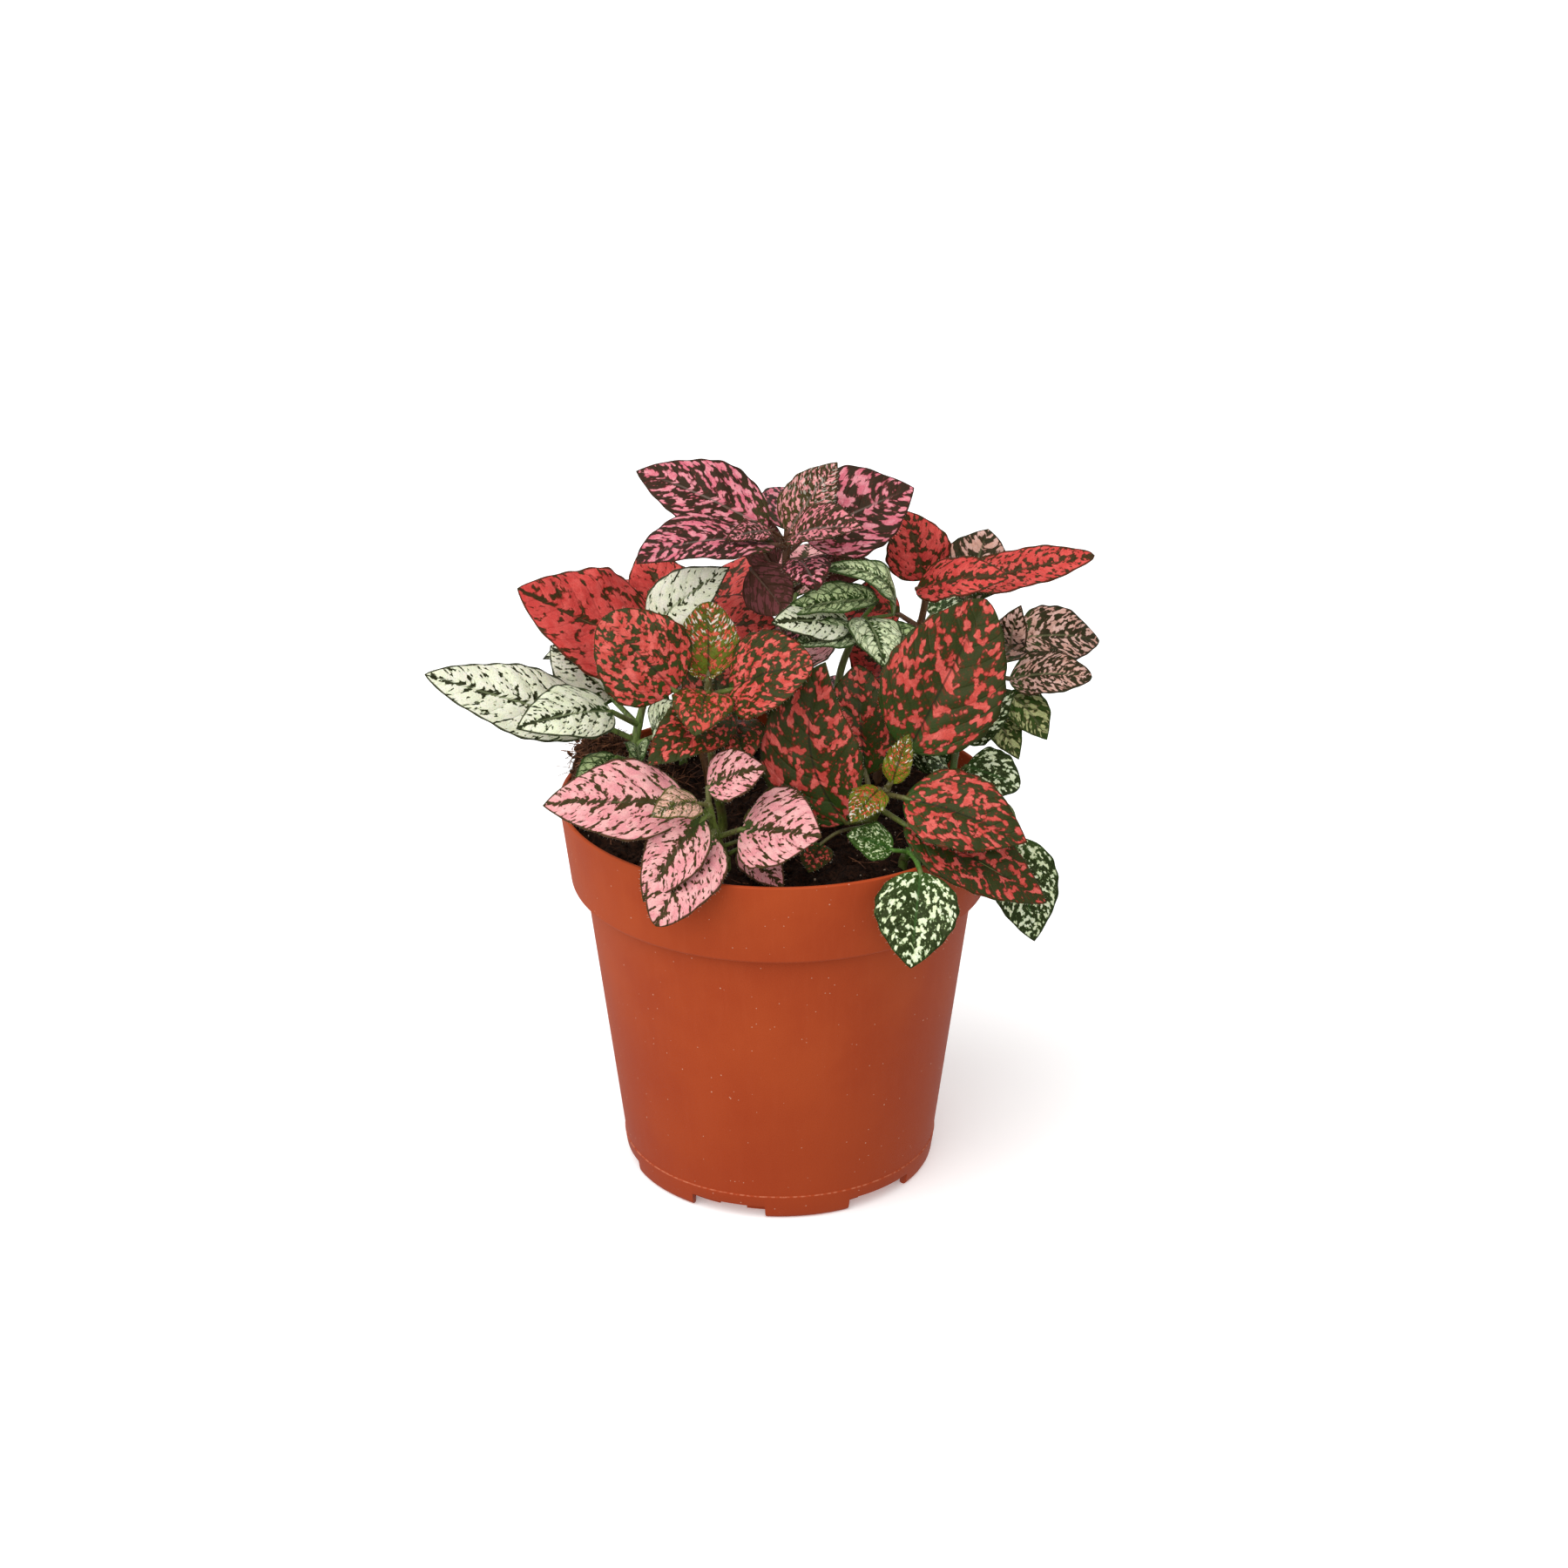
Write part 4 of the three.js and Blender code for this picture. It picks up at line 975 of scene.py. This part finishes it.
def make_soil():
    draw = random.Random(SOIL_SEED)
    bed = make_soil_bed()
    crumbs, fibres = crumb_blanks(draw), fibre_blanks(draw)
    peat = bed.data.materials[0]
    fibre = two_tone_finish("peat fibre", 0.35, 2, "4a2818", "8a5636", 0.8, 0.2)
    pale = two_tone_finish("pale bit", 0.8, 2, "8d7560", "c9b8a2", 0.85, 0.2)
    # Name, number, on the heap or not, blanks, least and most length and width, finish, and how
    # steeply they stand.
    kinds = [
        ("crumbs", CRUMBS, False, crumbs, ((0.6, 2.4), (0.6, 2.0)), peat, 0.6),
        ("heap_crumbs", CRUMBS // 3, True, crumbs, ((0.8, 3.4), (0.8, 2.8)), peat, 0.6),
        ("fibres", FIBRES, False, fibres, ((4, 9), (1.2, 2.6)), fibre, 0.15),
        ("heap_fibres", MOUND_FIBRES, True, fibres, ((4, 10), (1.2, 2.8)), fibre, 0.5),
        ("pale_bits", PALE_BITS, False, crumbs, ((0.3, 0.9), (0.3, 0.8)), pale, 0.5),
    ]
    layers = [bed]
    for name, count, near_mound, blanks, (lengths, widths), finish, steepness in kinds:
        places = []
        for _ in range(count):
            spot = soil_spot(draw, near_mound)
            lean = Vector((draw.gauss(0, 1), draw.gauss(0, 1), draw.gauss(0, steepness)))
            length, width = draw.uniform(*lengths), draw.uniform(*widths)
            spot.z += 0.25 * length * steepness
            matrix = aimed(spot * MM, lean, length, width, draw.uniform(0, math.tau))
            places.append((draw.randrange(len(blanks)), matrix))
        layers.append(scattered(name, blanks, places, finish))
    remove_pieces(crumbs + fibres)
    soil = join_pieces(layers, "peat_soil_bed")
    stand_for(soil, "soil")


# ---- stems ----


def smooth_path(points, steps):
    """Points along the centripetal Catmull-Rom curve that the CAD stems follow."""
    ends = [2 * points[0] - points[1], *points, 2 * points[-1] - points[-2]]
    path = []
    for a, b, c, d in zip(ends, ends[1:], ends[2:], ends[3:]):
        first, second, third = (math.sqrt((q - p).length) for p, q in ((a, b), (b, c), (c, d)))
        into = ((b - a) / first - (c - a) / (first + second) + (c - b) / second) * second
        out = ((c - b) / second - (d - b) / (second + third) + (d - c) / third) * second
        for step in range(steps):
            t = step / steps
            path.append(
                b * (2 * t**3 - 3 * t**2 + 1) + into * (t**3 - 2 * t**2 + t)
                + c * (3 * t**2 - 2 * t**3) + out * (t**3 - t**2)
            )
    return [*path, points[-1].copy()]


def stem_path(points):
    """A stem's course: it rises straight out of the soil and then goes by the table's points."""
    x, y = points[0]
    surface = soil_top(x, y)
    foot = [Vector((x, y, surface + height)) for height in STEM_FOOT_HEIGHTS]
    return smooth_path(foot + [Vector(point) for point in points[1:]], STEM_STEPS)


def spring_point(path, leaf_data):
    """Where on its stem a leaf's stalk springs: a little below the blade's foot."""
    aim = (leaf_data["via"] or [leaf_data["foot"]])[0] - Vector((0, 0, STALK_DROP))
    return min(path, key=lambda point: (point - aim).length)


def tubes(name, courses, material):
    """Round stems and stalks as one mesh: each course is a list of points and their radii."""
    select_only()
    bpy.ops.curve.primitive_bezier_curve_add()
    drawn = bpy.context.object
    shape = drawn.data
    shape.splines.clear()
    shape.dimensions, shape.bevel_depth, shape.bevel_resolution = "3D", 1, 2
    shape.use_fill_caps = True
    for points, radii in courses:
        spline = shape.splines.new("POLY")
        spline.points.add(len(points) - 1)
        for knot, point, radius in zip(spline.points, points, radii):
            knot.co = (*(point * MM), 1)
            knot.radius = radius * MM
    bpy.ops.object.convert(target="MESH")
    weld(0.00001 * MM)
    drawn.data.materials.append(material)
    bpy.ops.object.shade_smooth()
    drawn.name = name
    return drawn


def main_stem_course(path, springs):
    """The stem thins upwards and swells where leaves spring."""
    radii = []
    for number, point in enumerate(path):
        share = number / (len(path) - 1)
        radius = STEM_RADIUS + (STEM_TIP_RADIUS - STEM_RADIUS) * share
        away = min(((point - spring).length for spring in springs), default=math.inf)
        knot = math.exp(-((away / KNOT_SIZE) ** 2))
        radii.append(radius * STEM_SLIMMING + KNOT_SWELL * knot * (1 - 0.5 * share))
    return path, radii


# ---- blades ----


def blade_share(t, blunt):
    """How wide a blade is at t: round at the foot, and at the tip drawn out or blunt."""
    if not 0 < t < 1:
        return 0
    return math.sin(math.pi * t**0.76) ** (0.75 + (0.2 - 0.4 * blunt) * t)


class Blade:
    """The form of one leaf, as the CAD's formulas give it, with the fine relief of the real one.

    t is the share of the length and s the way across, from -1 to 1.
    """

    def __init__(self, leaf_data, seed):
        self.leaf, self.seed = leaf_data, seed
        self.reach = leaf_data["tip"] - leaf_data["foot"]
        self.length = self.reach.length
        self.across = self.reach.cross(leaf_data["face"]).normalized()
        self.up = self.across.cross(self.reach).normalized()
        self.bow = leaf_data["arch"] * self.up + leaf_data["bend"] * self.across
        self.veins = round(4 + self.length / 12)

    def frame(self, t):
        """The rib's point, the way out to the side and the way up, at a share of the length."""
        rib = self.leaf["foot"] + t * self.reach + 4 * t * (1 - t) * self.bow
        heading = (self.reach + 4 * (1 - 2 * t) * self.bow).normalized()
        side = (self.across - heading * self.across.dot(heading)).normalized()
        return rib, side, side.cross(heading).normalized()

    def half_width(self, t, s):
        scallop = 1 + SCALLOP * math.sin(math.tau * self.phase(t, s, 0.5 * self.leaf["width"]))
        end = (FOOT_HALF_WIDTH - TIP_HALF_WIDTH) * (1 - t) + TIP_HALF_WIDTH
        return max(end, self.leaf["width"] / 2 * blade_share(t, self.leaf["blunt"]) * scallop)

    def phase(self, t, s, half):
        """Whole numbers on the side veins, which slant forward and curve up to the margin."""
        forward = VEIN_SLANT * abs(s) * half / self.length * (1 + 0.5 * s * s)
        return self.veins * (t - forward) + VEIN_OFFSET * (s > 0)

    def lift(self, t, s, half):
        """How far the blade stands above its rib: fold, waves, puffs between veins, rib groove."""
        share = blade_share(t, self.leaf["blunt"])
        away = abs(s)
        rise = self.leaf["fold"] * half * away * (1.5 - 0.5 * away)
        turn = WAVES * t + math.copysign(WAVE_OFFSET, s)
        wave = self.leaf["wave"] * share * s * s * math.sin(turn)
        between = math.sin(math.pi * self.phase(t, s, half)) ** 2
        puff = PUFF * half * share * between * (1 - s**4) * min(1, 3 * away)
        unrest = UNREST * half * share * noise.noise(Vector((5 * t, 2.2 * s, self.seed * 3.1)))
        groove = RIB_GROOVE * math.exp(-((s * half / RIB_GROOVE_WIDTH) ** 2)) * (1 - t)
        return rise + wave + puff + unrest - groove

    def place(self, t, s, above):
        """A corner of the fine mesh; above is 1 on the upper side and -1 below."""
        rib, side, normal = self.frame(t)
        half = self.half_width(t, s)
        thick = MARGIN_THICKNESS + (BLADE_THICKNESS - MARGIN_THICKNESS) * (1 - s * s)
        height = self.lift(t, s, half) + above * thick / 2
        return rib + side * (s * half) + normal * height

    def marks(self, t, s):
        """What the finishes read: the place along and across the side veins, then the share of
        the length, the distance from the margin and the veins' count, then that from the rib."""
        half = self.half_width(t, s)
        phase = self.phase(t, s, half)
        along = abs(s) * half * math.cos(VEIN_ANGLE) + t * self.length * math.sin(VEIN_ANGLE)
        across = phase * self.length / self.veins * math.cos(VEIN_ANGLE)
        on_veins = (along, across, self.seed * 9.7 + 0.4 * s * half)
        edge = min(half * (1 - abs(s)), self.length * (1 - t) + 0.3)
        return on_veins, (t, edge, phase), s * half


def boxed(point):
    """The point itself, or the nearest one inside the CAD's box, in metres."""
    return Vector([min(max(at, low), high) for low, at, high in zip(cad_low, point, cad_high)])


def make_blade_blank():
    """A flat closed sheet, 2 long and 2 wide, that every blade is shaped from."""
    select_only()
    bpy.ops.mesh.primitive_grid_add(
        x_subdivisions=BLADE_COLUMNS, y_subdivisions=BLADE_ROWS, size=2
    )
    blank = bpy.context.object
    sheet = blank.modifiers.new("two sides", "SOLIDIFY")
    sheet.thickness, sheet.offset = 0.2, 0
    apply_modifiers(blank)
    for face in blank.data.polygons:
        face.material_index = 1 if face.normal.z < -0.5 else 0
    bpy.ops.object.shade_smooth()
    return blank


def make_blade(form, blank, name, finishes):
    mesh = blank.data.copy()
    on_veins, in_leaf, from_rib = [], [], []
    for vertex in mesh.vertices:
        s, along, above = vertex.co
        t = (along + 1) / 2
        vein_place, leaf_field, beside = form.marks(t, s)
        on_veins += vein_place
        in_leaf += leaf_field
        from_rib.append(beside)
        vertex.co = boxed(form.place(t, s, math.copysign(1, above)) * MM)
    for key, values in (("vein_place", on_veins), ("leaf_field", in_leaf)):
        mesh.attributes.new(key, "FLOAT_VECTOR", "POINT").data.foreach_set("vector", values)
    numbers = {key: [form.leaf[key]] * len(from_rib) for key in ("young", "rich", "fineness")}
    for key, values in {**numbers, "from_rib": from_rib}.items():
        mesh.attributes.new(key, "FLOAT", "POINT").data.foreach_set("value", values)
    for finish in finishes:
        mesh.materials.append(finish)
    return piece_of(name, mesh)


def stalk_course(form, path):
    """A stalk from the stem to the blade, which goes on below it as the midrib."""
    data = form.leaf
    stalk = smooth_path([spring_point(path, data), *data["via"], data["foot"]], STALK_STEPS)
    ribs, size = [], min(1, data["width"] / 12)
    thin = [STALK_RADIUS * size * (1 - 0.15 * n / len(stalk)) for n in range(len(stalk))]
    taper = [0.5 * size * (1 - 0.9 * n / RIB_STEPS) for n in range(1, RIB_STEPS + 1)]
    for step, radius in enumerate(taper, 1):
        t = RIB_REACH * step / RIB_STEPS
        rib, _, normal = form.frame(t)
        ribs.append(rib - normal * (radius + RIB_GROOVE * (1 - t) - 0.05))
    return stalk + ribs, thin + taper


# ---- hairs ----


def make_hair_blank():
    select_only()
    bpy.ops.mesh.primitive_cone_add(vertices=3, radius1=1, radius2=0.12, depth=1)
    blank = bpy.context.object
    for vertex in blank.data.vertices:
        vertex.co.z += 0.5
    return blank


def hair_place(root, lean, length):
    return 0, aimed(root * MM, lean, length * MM, HAIR_RADIUS * MM)


def margin_hairs(form, draw):
    places = []
    count = int(form.length / MARGIN_HAIR_STEP)
    for number in range(2, count):
        for way in (-1, 1):
            t = (number + draw.uniform(-0.4, 0.4)) / count
            root = form.place(t, way * 0.99, 0)
            _, side, normal = form.frame(t)
            lean = way * side + 0.5 * form.reach.normalized() + normal * draw.gauss(0, 0.4)
            length = draw.uniform(*MARGIN_HAIR_LENGTHS)
            end = (root + lean.normalized() * length) * MM
            if end == boxed(end):
                places.append(hair_place(root, lean, length))
    return places


def stem_hairs(points, radii, draw):
    places = []
    for here, there, radius in zip(points, points[1:], radii):
        run = there - here
        for _ in range(int(run.length / STEM_HAIR_STEP)):
            out = run.orthogonal().normalized()
            out.rotate(Matrix.Rotation(draw.uniform(0, math.tau), 3, run))
            root = here + run * draw.random() + out * radius * 0.9
            lean = out + run.normalized() * draw.gauss(0.2, 0.3)
            places.append(hair_place(root, lean, draw.uniform(*STEM_HAIR_LENGTHS)))
    return places


# ---- a leafy stem ----


def make_leafy_stem(name, number, blade_blank, hair_blank, finishes):
    look_name, points, leaves = LEAFY_STEMS[name]
    upper, under, skin = finishes[look_name]
    draw = random.Random(FIRST_STEM_SEED + number)
    path = stem_path(points)
    forms = [Blade(data, number * LEAVES_AT_MOST + at) for at, data in enumerate(leaves)]
    blades = [
        make_blade(form, blade_blank, f"{name}_blade_{at}", (upper, under))
        for at, form in enumerate(forms)
    ]
    springs = [spring_point(path, leaf_data) for leaf_data in leaves]
    stem = main_stem_course(path, springs)
    stalks = [stalk_course(form, path) for form in forms]
    wood = tubes(f"{name}_stems", [stem, *stalks], skin)
    hair_places = [place for form in forms for place in margin_hairs(form, draw)]
    above_soil = [at for at, point in enumerate(path) if point.z > soil_top(point.x, point.y)]
    first = above_soil[0]
    hair_places += stem_hairs(path[first:], stem[1][first:], draw)
    for course, radii in stalks:
        hair_places += stem_hairs(course[: STALK_STEPS + 1], radii[: STALK_STEPS + 1], draw)
    hairs = scattered(f"{name}_hairs", [hair_blank], hair_places, finishes["hair"])
    whole = join_pieces([*blades, wood, hairs], f"{name}_stem")
    stand_for(whole, f"leafy_stem_{name}")


def make_plant():
    finishes = {"hair": two_tone_finish("leaf hair", 0.5, 1, "b7a98a", "e8e2cf", 0.45, 0)}
    for look_name, look in LEAF_LOOKS.items():
        finishes[look_name] = (
            blade_finish(f"{look_name} leaf", look),
            underside_finish(f"{look_name} leaf underside", look),
            stem_finish(f"{look_name} stalk", look),
        )
    blade_blank, hair_blank = make_blade_blank(), make_hair_blank()
    for number, name in enumerate(LEAFY_STEMS):
        make_leafy_stem(name, number, blade_blank, hair_blank, finishes)
    remove_pieces([blade_blank, hair_blank])


# ---- the studio ----


def add_camera():
    bpy.ops.object.camera_add(
        location=CAMERA_PLACE, rotation=(math.radians(CAMERA_TILT), 0, 0)
    )
    camera = bpy.context.object
    camera.data.sensor_width, camera.data.lens = CAMERA_SENSOR, CAMERA_LENS
    camera.data.clip_end = CAMERA_FAR
    bpy.context.scene.camera = camera


def add_sun(name, power, softness, tilt):
    bpy.ops.object.light_add(type="SUN", rotation=[math.radians(turn) for turn in tilt])
    sun = bpy.context.object
    sun.name = name
    sun.data.energy, sun.data.angle = power, math.radians(softness)


def add_studio():
    add_sun("key_light", **KEY_LIGHT)
    world = bpy.data.worlds.new("studio")
    world.use_nodes = True
    room = world.node_tree.nodes["Background"].inputs
    room["Color"].default_value = (1, 1, 1, 1)
    room["Strength"].default_value = ROOM_LIGHT
    bpy.context.scene.world = world
    bpy.context.scene.view_settings.view_transform = "Standard"
    select_only()
    bpy.ops.mesh.primitive_plane_add(size=FLOOR_SIZE)
    floor = bpy.context.object
    floor.name = "studio_floor"
    floor.data.materials.append(floor_finish())
    floor.visible_diffuse = floor.visible_glossy = False


add_camera()
add_studio()
make_pot()
make_soil()
make_plant()
select_only()
